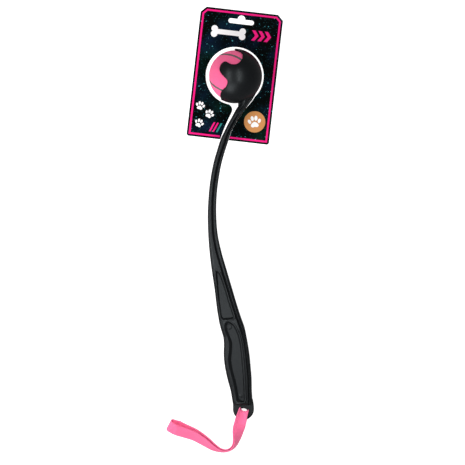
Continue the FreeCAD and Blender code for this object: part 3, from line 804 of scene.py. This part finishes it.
def tab_reach(angle):
    """Distance from the hole's centre to the tab's outline in one direction."""
    low, high = 0.0, 3 * TAB_RADIUS
    for _ in range(30):
        middle = (low + high) / 2
        x = middle * math.cos(angle)
        y = HOLE_Y - TAB_Y + middle * math.sin(angle)
        reach = TAB_RADIUS - (SHOULDER * (y / TAB_RADIUS) ** 2 if x > 0 else 0.0)
        inside = abs(x) < reach and y < TAB_RADIUS and (y > 0 or math.hypot(x, y) < TAB_RADIUS)
        low, high = (middle, high) if inside else (low, middle)
    return low


def tab_places():
    """Skin of the flat tab with its hole: columns go round its section, rows round the hole."""
    half = TAB_THICKNESS / 2
    rows = []
    for angle in np.linspace(0, 2 * math.pi, TAB_ROWS):
        length = tab_reach(angle) - HOLE_RADIUS
        turn = np.linspace(0, math.pi / 2, EDGE_COLUMNS)
        inner_x = HOLE_EDGE * (1 - np.cos(turn))
        inner_z = half - HOLE_EDGE + HOLE_EDGE * np.sin(turn)
        flat = np.linspace(HOLE_EDGE, length - TAB_EDGE, FLAT_COLUMNS)[1:-1]
        outer_x = length - TAB_EDGE + TAB_EDGE * np.sin(turn)
        outer_z = half - TAB_EDGE + TAB_EDGE * np.cos(turn)
        across = np.concatenate([inner_x, flat, outer_x])
        level = np.concatenate([inner_z, np.full(len(flat), half), outer_z])
        across = np.concatenate([[0.0], across, [length], across[::-1]])
        level = np.concatenate([[0.0], level, [0.0], -level[::-1]])
        x = TAB_X + (HOLE_RADIUS + across) * math.cos(angle)
        y = HOLE_Y + (HOLE_RADIUS + across) * math.sin(angle)
        rows.append(np.stack([x, y, level], axis=1))
    return np.array(rows)


def gusset(bm):
    """Thin web in the corner between the cup and the arm's left edge, the first shape in bm."""
    raise_faces(bm, flat_faces(bm, [GUSSET], -GUSSET_HALF), 2 * GUSSET_HALF)
    bmesh.ops.recalc_face_normals(bm, faces=bm.faces)
    bmesh.ops.bevel(
        bm,
        geom=bm.edges[:],
        offset=GUSSET_EDGE,
        segments=3,
        profile=0.5,
        affect="EDGES",
        material=-1,
    )
    moved(bm, arm_to_world)


def lip_directions():
    """Directions from the ball's centre to the lip, once round the cup."""
    keys = np.arange(len(LIP_POINTS))
    flat = smooth(keys, np.array(LIP_POINTS), np.linspace(0, keys[-1], LIP_STEPS))
    flat = flat[np.hypot(flat[:, 0], flat[:, 1]) < 1.0]
    upper = np.column_stack([flat, np.sqrt(1 - (flat**2).sum(axis=1))])
    first, last = (np.append(unit(end), 0.0) for end in (flat[0], flat[-1]))
    upper = np.vstack([first, upper, last])
    travel = travelled(upper)
    upper = resampled(travel, upper, np.linspace(0, travel[-1], LIP_COLUMNS))
    lower = upper[-2:0:-1] * np.array([1, 1, -1])
    return unit(np.vstack([upper, lower]))


def cup_places():
    """Skin of the cup: columns run along its lip, rows from its hub over the lip and back."""
    wall = in_mm("cup_wall")
    middle = CUP_RADIUS - wall / 2
    lip = lip_directions()
    hub = np.array([math.cos(CUP_HUB_ANGLE), math.sin(CUP_HUB_ANGLE), 0.0])
    reach = np.arccos(np.clip(lip @ hub, -1, 1))
    side = unit(lip - hub * (lip @ hub)[:, None])
    last = reach - wall / 2 / middle
    shells = [(share * last, CUP_RADIUS) for share in np.linspace(0, 1, OUTER_ROWS)]
    for angle in np.radians(np.arange(22.5, 180, 22.5)):
        beyond = wall / 2 * math.sin(angle) / middle
        shells.append((last + beyond, middle + wall / 2 * math.cos(angle)))
    shells += [(share * last, CUP_RADIUS - wall) for share in np.linspace(1, 0, INNER_ROWS)]
    rows = []
    for turn, radius in shells:
        rows.append((hub * np.cos(turn)[:, None] + side * np.sin(turn)[:, None]) * radius)
    return np.array(rows)


# Ball


def merged_copy(node):
    """Copy of a solid of the frame, with its loose triangles merged."""
    bm = bmesh.new()
    bm.from_mesh(frame["nodes"][node].data)
    bmesh.ops.remove_doubles(bm, verts=bm.verts, dist=CAD_WELD)
    return bm


def even_skin(bm, voxel):
    """The same shape as one skin of even faces."""
    holder = mesh_object("even_skin", bm)
    base = holder.data
    remesh = holder.modifiers.new("even_skin", "REMESH")
    remesh.mode = "VOXEL"
    remesh.voxel_size = voxel
    remesh.adaptivity = 0.0
    depsgraph = bpy.context.evaluated_depsgraph_get()
    even = bpy.data.meshes.new_from_object(holder.evaluated_get(depsgraph))
    bm = bmesh.new()
    bm.from_mesh(even)
    bpy.data.objects.remove(holder)
    bpy.data.meshes.remove(base)
    bpy.data.meshes.remove(even)
    return bm


def felt_panel(node, material):
    """Felt panel with rounded edges along the seam and a short nap on its outside."""
    sizes = bpy.context.scene.launcher_sizes
    bm = even_skin(merged_copy(node), sizes.nap_voxel)
    every_axis = {"use_axis_x": True, "use_axis_y": True, "use_axis_z": True}
    for _ in range(3):
        bmesh.ops.smooth_vert(bm, verts=bm.verts, factor=0.5, **every_axis)
    outside = sizes.ball_radius
    for vertex in bm.verts:
        arm = vertex.co - BALL_CENTRE
        depth = outside - arm.length
        if depth > FELT_SKIN * MM:
            continue
        flat = max(0.0, 1 - depth / (FELT_EDGE * MM))
        level = outside if flat > 0 else arm.length
        fine = noise.noise(vertex.co / (FINE_TUFTS * MM))
        nap = fine + COARSE_SHARE * noise.noise(vertex.co / (COARSE_TUFTS * MM))
        level += sizes.nap_height * nap * (EDGE_NAP + (1 - EDGE_NAP) * flat)
        vertex.co = BALL_CENTRE + arm.normalized() * level
    piece = finished_piece(node + "_nap", bm, material, "ball", sharp=180.0)
    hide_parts(node)


def seam_band(material):
    """Rubber seam, swollen a little over the felt's rounded edges."""
    sizes = bpy.context.scene.launcher_sizes
    bm = merged_copy("ball_seam")
    bm.normal_update()
    for vertex in bm.verts:
        out = (vertex.co - BALL_CENTRE).normalized()
        side = vertex.normal - out * vertex.normal.dot(out)
        vertex.co += side * sizes.seam_swell + out * sizes.seam_rise
    piece = finished_piece("seam_band", bm, material, "ball", sharp=180.0)
    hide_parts("ball_seam")


# Wrist strap


def strap_layers(top_seat, under_seat):
    """Middles and width directions of the two layers, from the hole outwards."""
    table = np.array(STRAP_ROUTE, float)
    keys = np.arange(len(table))
    steps = np.linspace(0, keys[-1], ROUTE_STEPS)
    route = smooth(keys, table[:, :2], steps)
    headings = np.gradient(route, axis=0)
    up = Vector((0, 0, 1))
    width = in_mm("strap_width")
    thickness = in_mm("strap_thickness")
    hole = STRAP_HOLE / MM
    upper = []
    lower = []
    for (x, y), heading, values in zip(route, headings, resampled(keys, table[:, 2:], steps)):
        roll, spread, lift, gap, shift = values
        turn = math.radians(roll)
        along = Vector((heading[0], heading[1], 0)).normalized()
        inner = Vector((along.y, -along.x, 0))
        across = inner * math.cos(turn) + up * math.sin(turn)
        normal = up * math.cos(turn) - inner * math.sin(turn)
        rest = (width * math.sin(turn) + thickness * math.cos(turn)) / 2 + TABLE_GAP
        height = max(rest, rest + (under_seat - rest) * lift)
        under = Vector((hole.x + x, hole.y + y, height))
        parting = normal * gap + up * spread * (top_seat - under_seat - gap)
        level = Vector((0, 0, parting.z))
        upper.append((under + level, across))
        lower.append((under + level - parting + inner * shift, across))
    return upper, lower


def strap_stations():
    """Sections of the webbing from its hidden end, once round the loop to the lap, and its curl."""
    hole = STRAP_HOLE / MM
    thickness = in_mm("strap_thickness")
    half = TAB_THICKNESS / 2 * math.cos(TIP)
    seat = TAB_GAP + thickness / 2
    top_seat = hole.z + half + seat
    under_seat = hole.z - half - seat
    upper, lower = strap_layers(top_seat, under_seat)
    beside = hole.x - in_mm("strap_width")
    stations = []
    for centre, across in reversed(lower):
        drop = hole.y - centre.y
        if drop <= LAP_END and centre.x > beside:
            curl = FLAT_CURL + END_CURL * max(0.0, 1 - (drop - 7.5) / 10)
            stations.append((centre, across, curl))
    # Up through the hole: distance below its middle, height, curl
    for drop, height, curl in (
        (3.9, under_seat + 0.3, 1.25),
        (2.9, under_seat + 1.8, 1.55),
        (1.2, hole.z, 1.6),
        (-0.4, top_seat - 1.4, 1.6),
        (-1.5, top_seat + 0.9, 1.15),
    ):
        stations.append((Vector((hole.x + TURN_X, hole.y - drop, height)), TURN_SIDE, curl))
    for index, (centre, across) in enumerate(upper):
        curl = LEAVING_CURL * max(0.0, 1 - index / LEAVING_SECTIONS) ** 1.5
        stations.append((centre, across, curl))
    first, across = upper[-1]
    along = (first - upper[-3][0]).normalized()
    middle = (first + lower[-1][0]) / 2
    arm = first - middle
    for turn in np.arange(1, 8) * math.pi / 8:
        centre = middle + arm * math.cos(turn) + along * arm.length * FOLD_REACH * math.sin(turn)
        stations.append((centre, across, 0.0))
    for centre, across in reversed(lower):
        drop = hole.y - centre.y
        lapped = centre.x > beside
        if lapped and drop < LAP_START:
            break
        sink = 1 - min(1.0, max(0.0, (drop - LAP_END) / LAP_EASE)) if lapped else 0.0
        step = Vector((0, 0, sink * (thickness + LAP_GAP)))
        stations.append((centre - step, across, FLAT_CURL * sink))
    return stations


def strap_rows():
    """Even rows along the webbing: middle, width direction, heading, curl and way along it."""
    stations = strap_stations()
    keys = np.arange(len(stations))
    table = np.array([[*centre, *across, curl] for centre, across, curl in stations])
    dense = smooth(keys, table, np.linspace(0, keys[-1], STATION_STEPS * len(stations)))
    travel = travelled(dense[:, :3])
    wanted = np.linspace(0, travel[-1], int(travel[-1] / STRAP_STEP) + 1)
    rows = resampled(travel, dense, wanted)
    heading = unit(np.gradient(rows[:, :3], axis=0))
    across = rows[:, 3:6]
    across = unit(across - heading * (across * heading).sum(axis=1, keepdims=True))
    return rows[:, :3], across, heading, rows[:, 6], wanted


def strap_places():
    """Skin of the webbing, woven on both faces: columns go round its flat section."""
    width = in_mm("strap_width")
    half = in_mm("strap_thickness") / 2
    threads_across = bpy.context.scene.launcher_sizes.threads_across
    centre, across, heading, curl, travel = strap_rows()
    normal = np.cross(heading, across)
    end = width / 2 - half * EDGE_SHARE
    offsets = np.linspace(-end, end, FACE_COLUMNS)
    face = np.full(FACE_COLUMNS, half)
    edge = np.radians([-60, -30, 0, 30, 60])
    round_x = end + half * EDGE_SHARE * np.cos(edge)
    round_z = half * np.sin(edge)
    loop_x = np.concatenate([offsets, round_x[::-1], offsets[::-1], -round_x])
    loop_z = np.concatenate([face, round_z[::-1], -face, round_z])
    on_face = np.abs(np.abs(loop_z) - half) < 1e-9
    threads = np.sin(math.pi * (loop_x / width + 0.5) * threads_across)
    picks = np.sin(math.pi * travel / in_mm("thread_pitch"))
    weave = picks[:, None] * threads[None, :] * on_face * np.sign(loop_z)
    loop_z = loop_z[None, :] + weave * in_mm("weave_height")
    bend = np.maximum(curl, 1e-4)[:, None]
    radius = width / 2 / bend
    angle = loop_x[None, :] / radius
    flat_x = (radius + loop_z) * np.sin(angle)
    flat_z = -(radius + loop_z) * (1 - np.cos(angle)) + loop_z
    places = centre[:, None, :] + across[:, None, :] * flat_x[:, :, None]
    places = places + normal[:, None, :] * flat_z[:, :, None]
    return places * MM, travel


def webbing_skin(places, travel):
    """Mesh of the webbing, with a UV map of its width across and its length along."""
    sizes = bpy.context.scene.launcher_sizes
    bm = bmesh.new()
    row_tag = bm.verts.layers.int.new("row")
    column_tag = bm.verts.layers.int.new("column")
    wrapped_grid(bm, places, tags=(row_tag, column_tag))
    uv_map = bm.loops.layers.uv.new("webbing")
    columns = places.shape[1]
    half = columns // 2
    for face in bm.faces:
        for loop in face.loops:
            column = loop.vert[column_tag]
            across = column / half if column < half else (columns - column) / half
            loop[uv_map].uv = (across, travel[loop.vert[row_tag]] * MM / sizes.strap_width)
    return bm


def bar_tack(material):
    """Zigzag of thread through both layers of the lap, seen on both faces."""
    low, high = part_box("strap_bar_tack")
    middle = (low + high) / 2
    centre, across, heading, _, _ = strap_rows()
    nearest = np.linalg.norm(centre * MM - np.array(middle), axis=1).argmin()
    side = Vector(across[nearest])
    along = Vector(heading[nearest])
    up = side.cross(along).normalized()
    frame_turn = Matrix((side, along, up)).transposed().to_4x4()
    size = Matrix.Diagonal((*[half * MM for half in STITCH_HALF], 1))
    bm = bmesh.new()
    for face in (-1, 1):
        for stitch in range(STITCHES):
            degrees = STITCH_LEAN if stitch % 2 else -STITCH_LEAN
            lean = Matrix.Rotation(math.radians(degrees), 4, "Z")
            across_tack = (stitch - STITCHES // 2) * STITCH_PITCH
            place = Matrix.Translation(Vector((across_tack, 0, face * STITCH_LEVEL)) * MM)
            whole = Matrix.Translation(middle) @ frame_turn @ place @ lean @ size
            bmesh.ops.create_icosphere(bm, subdivisions=2, radius=1.0, matrix=whole)
    piece = finished_piece("bar_tack_stitches", bm, material, "strap", sharp=180.0)
    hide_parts("strap_bar_tack")
    return piece


# Printing on the board


def board_piece(name, bm, material):
    """Piece of the board, from shapes in the board's own frame."""
    moved(bm, board_to_world)
    bmesh.ops.recalc_face_normals(bm, faces=bm.faces)
    finished_piece(name, bm, material, "board", sharp=20.0)


def printed_piece(name, outlines, material, layer):
    """Flat inked shapes, on the board or on another ink."""
    ink = in_mm("ink_thickness")
    bm = bmesh.new()
    raise_faces(bm, flat_faces(bm, outlines, BOARD_THICKNESS + layer * ink), ink)
    board_piece(name, bm, material)


def turned(points, x, y, degrees):
    angle = math.radians(degrees)
    cosine, sine = math.cos(angle), math.sin(angle)
    return [(x + a * cosine - b * sine, y + a * sine + b * cosine) for a, b in points]


def oval(x, y, half_width, half_height, degrees=0, count=36):
    angles = [2 * math.pi * step / count for step in range(count)]
    points = [(half_width * math.cos(angle), half_height * math.sin(angle)) for angle in angles]
    return turned(points, x, y, degrees)


def bone(x, y, length, height):
    """Outline of a bone: a bar with two round knobs at each end."""
    knob = height / BONE_KNOB
    rise = height / 2 - knob
    end = length / 2 - knob
    bar = knob * BONE_BAR
    start = 180 + math.degrees(math.asin((rise - bar) / knob))
    stop = -math.degrees(math.asin(min(1.0, rise / knob)))
    upper = []
    for step in range(17):
        angle = math.radians(start + (stop - start) * step / 16)
        upper.append((end + knob * math.cos(angle), rise + knob * math.sin(angle)))
    right = upper + [(a, -b) for a, b in reversed(upper)][1:]
    left = [(-a, -b) for a, b in right]
    return turned(right + left, x, y, 0)


def paw(x, y, size, degrees):
    """Four toes and a pad, as separate outlines."""
    shapes = []
    for across, up, wide, high, lean in (
        (-0.78, 0.28, 0.24, 0.36, 22),
        (-0.29, 0.74, 0.26, 0.4, 8),
        (0.29, 0.74, 0.26, 0.4, -8),
        (0.78, 0.28, 0.24, 0.36, -22),
    ):
        toe = oval(0, 0, wide * size, high * size, lean, count=24)
        shapes.append(turned([(a + across * size, b + up * size) for a, b in toe], x, y, degrees))
    pad = []
    for step in range(40):
        angle = 2 * math.pi * step / 40
        reach = 0.5 + 0.1 * math.cos(2 * angle) - 0.07 * math.sin(3 * angle)
        pad.append((reach * size * math.cos(angle), (reach * math.sin(angle) - 0.28) * size))
    shapes.append(turned(pad, x, y, degrees))
    return shapes


def slanted_bar(x, y, width, height, lean):
    return [(x, y), (x + width, y), (x + width + lean, y + height), (x + lean, y + height)]


def chevron(x, y, width, height, point):
    right = [(x + width, y + height), (x + width + point, y), (x + width, y - height)]
    return [(x, y + height), *right, (x, y - height), (x + point, y)]


def border_quads():
    """Border line inside the board's edge, from one side of the slot round to the other."""
    half = in_mm("border_width") / 2
    inset = in_mm("border_inset") + half
    a = BOARD_HALF[0] - inset
    b = BOARD_HALF[1] - inset
    cut = BOARD_HALF[0] + BOARD_HALF[1] - CORNER_CUT - inset * math.sqrt(2)
    corners = [(-a, -b), (-a, cut - a), (b - cut, b), (cut - b, b), (a, cut - a), (a, -b)]
    path = [(BORDER_ENDS[0], -b), *corners, (BORDER_ENDS[1], -b)]
    pairs = []
    for index, (x, y) in enumerate(path):
        before = Vector(path[max(index - 1, 0)])
        after = Vector(path[min(index + 1, len(path) - 1)])
        here = Vector((x, y))
        first = (here - before).normalized() if index else (after - here).normalized()
        second = (after - here).normalized() if index < len(path) - 1 else first
        mitre = (first + second).normalized()
        out = Vector((-mitre.y, mitre.x)) * half / max(0.2, mitre.dot(first))
        pairs.append(((here + out)[:], (here - out)[:]))
    return [(p[0], q[0], q[1], p[1]) for p, q in zip(pairs, pairs[1:])]


def slot_edge(material):
    """Strip that carries the board on to just beside the stick's right edge, along the slot."""
    y = np.linspace(STRIP_TOP, STRIP_FOOT, STRIP_PLACES)
    middle, width, _ = arm_row(y)
    turn = np.array(Matrix.Rotation(-BOARD_TURN, 2))
    sides = []
    for offset in (STRIP_OUTER, STRIP_START - STRIP_NEARING * ease((STRIP_TOP - y) / STRIP_EASE)):
        flat = np.column_stack([middle + width / 2 + offset, y * math.cos(TIP)])
        sides.append(flat @ turn.T - np.array(BOARD_SHIFT))
    kept = np.minimum(sides[0][:, 1], sides[1][:, 1]) > FOOT_GAP - BOARD_HALF[1]
    outer, inner = (
        np.vstack([side[kept], [side[kept][-1, 0] - FOOT_RUN, -BOARD_HALF[1]]]) for side in sides
    )
    bm = bmesh.new()
    flat_faces(bm, zip(outer, outer[1:], inner[1:], inner), STRIP_PLAY)
    bmesh.ops.remove_doubles(bm, verts=bm.verts, dist=0.001)
    raise_faces(bm, bm.faces[:], BOARD_THICKNESS - 2 * STRIP_PLAY)
    board_piece("board_slot_edge", bm, material)


def print_board():
    """Border, bone, chevrons, paws, roundel and stripes: plain motifs in four inks."""
    walk = paw(-38.5, -66.0, 5.6, -18) + paw(-27.0, -53.0, 5.6, -24) + paw(-39.5, -44.0, 5.6, -10)
    bars = [slanted_bar(x, -74.0, 2.2, 12.0, 5.0) for x in (-25.0, -20.5, -16.0)]
    colours = ("pink_ink", "white_ink", "tan_ink", "teal_ink")
    inks = {colour: grained_material(colour) for colour in colours}
    for name, outlines, ink, layer in (
        ("border", border_quads(), "pink_ink", 0),
        ("bone", [bone(-14.5, 53.0, 44.0, 15.0)], "white_ink", 0),
        ("chevrons", [chevron(x, 53.0, 4.5, 6.5, 4.5) for x in (15.0, 23.0, 31.0)], "pink_ink", 0),
        ("roundel", [oval(31.5, -55.5, 13.5, 13.5, count=72)], "tan_ink", 0),
        ("roundel_paw", paw(31.5, -57.0, 8.0, 12), "white_ink", 1),
        ("paws", walk, "white_ink", 0),
        ("stripes", bars[:2], "pink_ink", 0),
        ("teal_stripe", bars[2:], "teal_ink", 0),
    ):
        printed_piece("printed_" + name, outlines, inks[ink], layer)


# Stage and order of work


def new_light(name, place, aim, size, power):
    data = bpy.data.lights.new(name, "AREA")
    data.shape = "RECTANGLE"
    data.size, data.size_y = size
    data.energy = power
    light = bpy.data.objects.new(name, data)
    light.location = place
    light.rotation_euler = (Vector(aim) - Vector(place)).to_track_quat("-Z", "Y").to_euler()
    light.visible_camera = False
    bpy.context.scene.collection.objects.link(light)


def floor_material():
    material, tree, shader = new_material("white_floor", roughness=0.9)
    place = add(tree, "ShaderNodeTexCoord").outputs["Object"]
    cloud = noise_tone(tree, place, 3.0)
    tone_to_colour(tree, shader, cloud, (0.48, 0.48, 0.48, 1), (0.5, 0.5, 0.5, 1))
    shader.inputs["Emission Color"].default_value = (1, 1, 1, 1)
    shader.inputs["Emission Strength"].default_value = 0.9
    return material


def length_property(name, description, default):
    """Size of the launcher, whose default is given in millimetres."""
    return FloatProperty(name=name, description=description, default=default * MM, unit="LENGTH")


class LauncherSizes(bpy.types.PropertyGroup):
    cup_wall: length_property("Cup wall", "Thickness of the cup's shell", 1.9)
    groove_width: length_property("Groove width", "Width of the groove down the arm", 1.9)
    groove_depth: length_property("Groove depth", "Depth of the groove down the arm", 2.6)
    pocket_depth: length_property("Pocket depth", "Depth of the pockets in the grip", 3.0)
    rim_height: length_property("Rim height", "Raised rim round the pockets", 0.45)
    ball_radius: length_property("Ball radius", "Outside of the felt", 32.5)
    nap_height: length_property("Nap height", "Unevenness of the felt", 0.13)
    nap_voxel: length_property("Nap detail", "Size of the felt mesh's faces", 0.62)
    seam_swell: length_property("Seam swell", "How far the seam spreads over the felt", 1.05)
    seam_rise: length_property("Seam rise", "How far the seam stands proud", 0.5)
    strap_width: length_property("Strap width", "Width of the webbing", 15.0)
    strap_thickness: length_property("Strap thickness", "Thickness of the webbing", 1.4)
    thread_pitch: length_property("Thread pitch", "Distance of the weft threads", 1.5)
    threads_across: FloatProperty(
        name="Threads across", description="Warp threads in the width", default=14.0
    )
    weave_height: length_property("Weave height", "How far a thread stands proud", 0.09)
    border_width: length_property("Border width", "Width of the printed border", 2.3)
    border_inset: length_property("Border inset", "Border's distance from the edge", 2.5)
    ink_thickness: length_property("Ink thickness", "Thickness of one printed layer", 0.03)


def colour_property(name, description, default):
    return FloatVectorProperty(
        name=name, description=description, default=default, subtype="COLOR", min=0.0, max=1.0
    )


class LauncherColours(bpy.types.PropertyGroup):
    plastic: colour_property("Plastic", "Moulded arm and cup", (0.0048, 0.0054, 0.0061))
    felt: colour_property("Felt", "Felt of the ball", (0.88, 0.125, 0.285))
    seam: colour_property("Seam", "Rubber seam of the ball", (0.1, 0.115, 0.105))
    rubber: colour_property("Rubber", "Hidden core of the ball", (0.09, 0.08, 0.075))
    webbing: colour_property("Webbing", "Wrist strap", (0.93, 0.155, 0.325))
    ground: colour_property("Ground", "Darkest print on the board", (0.0008, 0.002, 0.002))
    night_blue: colour_property("Night blue", "Blue clouds of the print", (0.004, 0.016, 0.05))
    night_green: colour_property("Night green", "Green clouds of the print", (0.002, 0.022, 0.012))
    speck: colour_property("Speck", "Fine specks of the print", (0.07, 0.36, 0.42))
    pink_ink: colour_property("Pink ink", "Border and stripes", (0.95, 0.008, 0.22))
    white_ink: colour_property("White ink", "Light motifs", (0.95, 0.95, 0.95))
    tan_ink: colour_property("Tan ink", "Roundel", (0.62, 0.27, 0.09))
    teal_ink: colour_property("Teal ink", "Single stripe", (0.03, 0.3, 0.27))


class LAUNCHER_OT_moulding(bpy.types.Operator):
    """Build the launcher's one black moulding: its cup and its arm with grip and tab"""

    bl_idname = "launcher.moulding"
    bl_label = "Moulding"

    def execute(self, context):
        plastic = grained_material("moulded_plastic")
        bm = bmesh.new()
        wrapped_grid(bm, arm_to_world(cup_places()))
        cup = finished_piece("launcher_cup", bm, plastic, "launcher")
        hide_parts("ball_cup")
        bm = bmesh.new()
        gusset(bm)
        skin = arm_places()
        skin = rounded_end(skin, arm_row(HEEL)[0][0])
        skin = arm_to_world(kept_out_of_cup(skin))
        skin[:, :, 2] = np.maximum(skin[:, :, 2], 0.0)
        wrapped_grid(bm, skin)
        wrapped_grid(bm, arm_to_world(tab_places()))
        arm = finished_piece("launcher_arm", bm, plastic, "launcher")
        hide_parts("throwing_shaft", "handle")
        return {"FINISHED"}


class LAUNCHER_OT_ball(bpy.types.Operator):
    """Build the felt covered ball"""

    bl_idname = "launcher.ball"
    bl_label = "Ball"

    def execute(self, context):
        felt = grained_material("pink_felt")
        felt_panel("felt_panel_cup_side", felt)
        felt_panel("felt_panel_mouth_side", felt)
        seam_band(grained_material("seam_rubber"))
        rubber = grained_material("ball_rubber")
        dress("ball_core_front", rubber)
        dress("ball_core_rear", rubber)
        return {"FINISHED"}


class LAUNCHER_OT_strap(bpy.types.Operator):
    """Build the webbing wrist strap and its bar tack"""

    bl_idname = "launcher.strap"
    bl_label = "Wrist strap"

    def execute(self, context):
        webbing = webbing_material()
        bm = webbing_skin(*strap_places())
        strap = finished_piece(
            "wrist_strap_webbing", bm, webbing, "strap", sharp=180.0
        )
        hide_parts("wrist_strap")
        tack = bar_tack(grained_material("pink_thread"))
        return {"FINISHED"}


class LAUNCHER_OT_board(bpy.types.Operator):
    """Finish the hanging board and print it"""

    bl_idname = "launcher.board"
    bl_label = "Board"

    def execute(self, context):
        board = print_material()
        dress("backing_board", board)
        slot_edge(board)
        print_board()
        return {"FINISHED"}


class LAUNCHER_OT_stage(bpy.types.Operator):
    """Add the white floor, the soft lights and the camera straight above"""

    bl_idname = "launcher.stage"
    bl_label = "Stage"

    def execute(self, context):
        scene = context.scene
        scene.view_settings.view_transform = "Standard"
        bm = bmesh.new()
        bmesh.ops.create_grid(bm, x_segments=4, y_segments=4, size=FLOOR_HALF)
        bmesh.ops.translate(bm, verts=bm.verts, vec=(0, 0, -FLOOR_DROP))
        floor = mesh_object("floor", bm)
        floor.data.materials.append(floor_material())
        floor.visible_glossy = False
        world = bpy.data.worlds.new("soft_studio")
        world.use_nodes = True
        tree = world.node_tree
        seen = add(tree, "ShaderNodeLightPath").outputs["Is Camera Ray"]
        background = tree.nodes["Background"]
        background.inputs["Color"].default_value = (1, 1, 1, 1)
        tree.links.new(ranged(tree, seen, to_low=WORLD_LIGHT), background.inputs["Strength"])
        scene.world = world
        for name, lamp in LAMPS.items():
            new_light(name, *lamp)
        camera = bpy.data.objects.new("camera", bpy.data.cameras.new("camera"))
        camera.data.type = "ORTHO"
        camera.data.ortho_scale = VIEW_WIDTH
        camera.location = VIEW_FROM
        camera.data.clip_end = 10.0
        scene.collection.objects.link(camera)
        scene.camera = camera
        return {"FINISHED"}


OPERATORS = [
    LAUNCHER_OT_moulding,
    LAUNCHER_OT_ball,
    LAUNCHER_OT_strap,
    LAUNCHER_OT_board,
    LAUNCHER_OT_stage,
]


class LAUNCHER_PT_pieces(bpy.types.Panel):
    """Sizes, colours and pieces of the launcher"""

    bl_label = "Ball launcher"
    bl_space_type = "VIEW_3D"
    bl_region_type = "UI"
    bl_category = "Launcher"

    def draw(self, context):
        for operator in OPERATORS:
            self.layout.operator(operator.bl_idname)
        for group in (context.scene.launcher_sizes, context.scene.launcher_colours):
            for name in group.bl_rna.properties.keys():
                if name not in {"rna_type", "name"}:
                    self.layout.prop(group, name)


CLASSES = [LauncherSizes, LauncherColours, *OPERATORS, LAUNCHER_PT_pieces]


def register():
    for cls in CLASSES:
        bpy.utils.register_class(cls)
    bpy.types.Scene.launcher_sizes = PointerProperty(type=LauncherSizes)
    bpy.types.Scene.launcher_colours = PointerProperty(type=LauncherColours)


def unregister():
    del bpy.types.Scene.launcher_colours
    del bpy.types.Scene.launcher_sizes
    for cls in reversed(CLASSES):
        bpy.utils.unregister_class(cls)


def main():
    register()
    bpy.ops.launcher.moulding()
    bpy.ops.launcher.ball()
    bpy.ops.launcher.strap()
    bpy.ops.launcher.board()
    bpy.ops.launcher.stage()


if __name__ == "__main__":
    main()
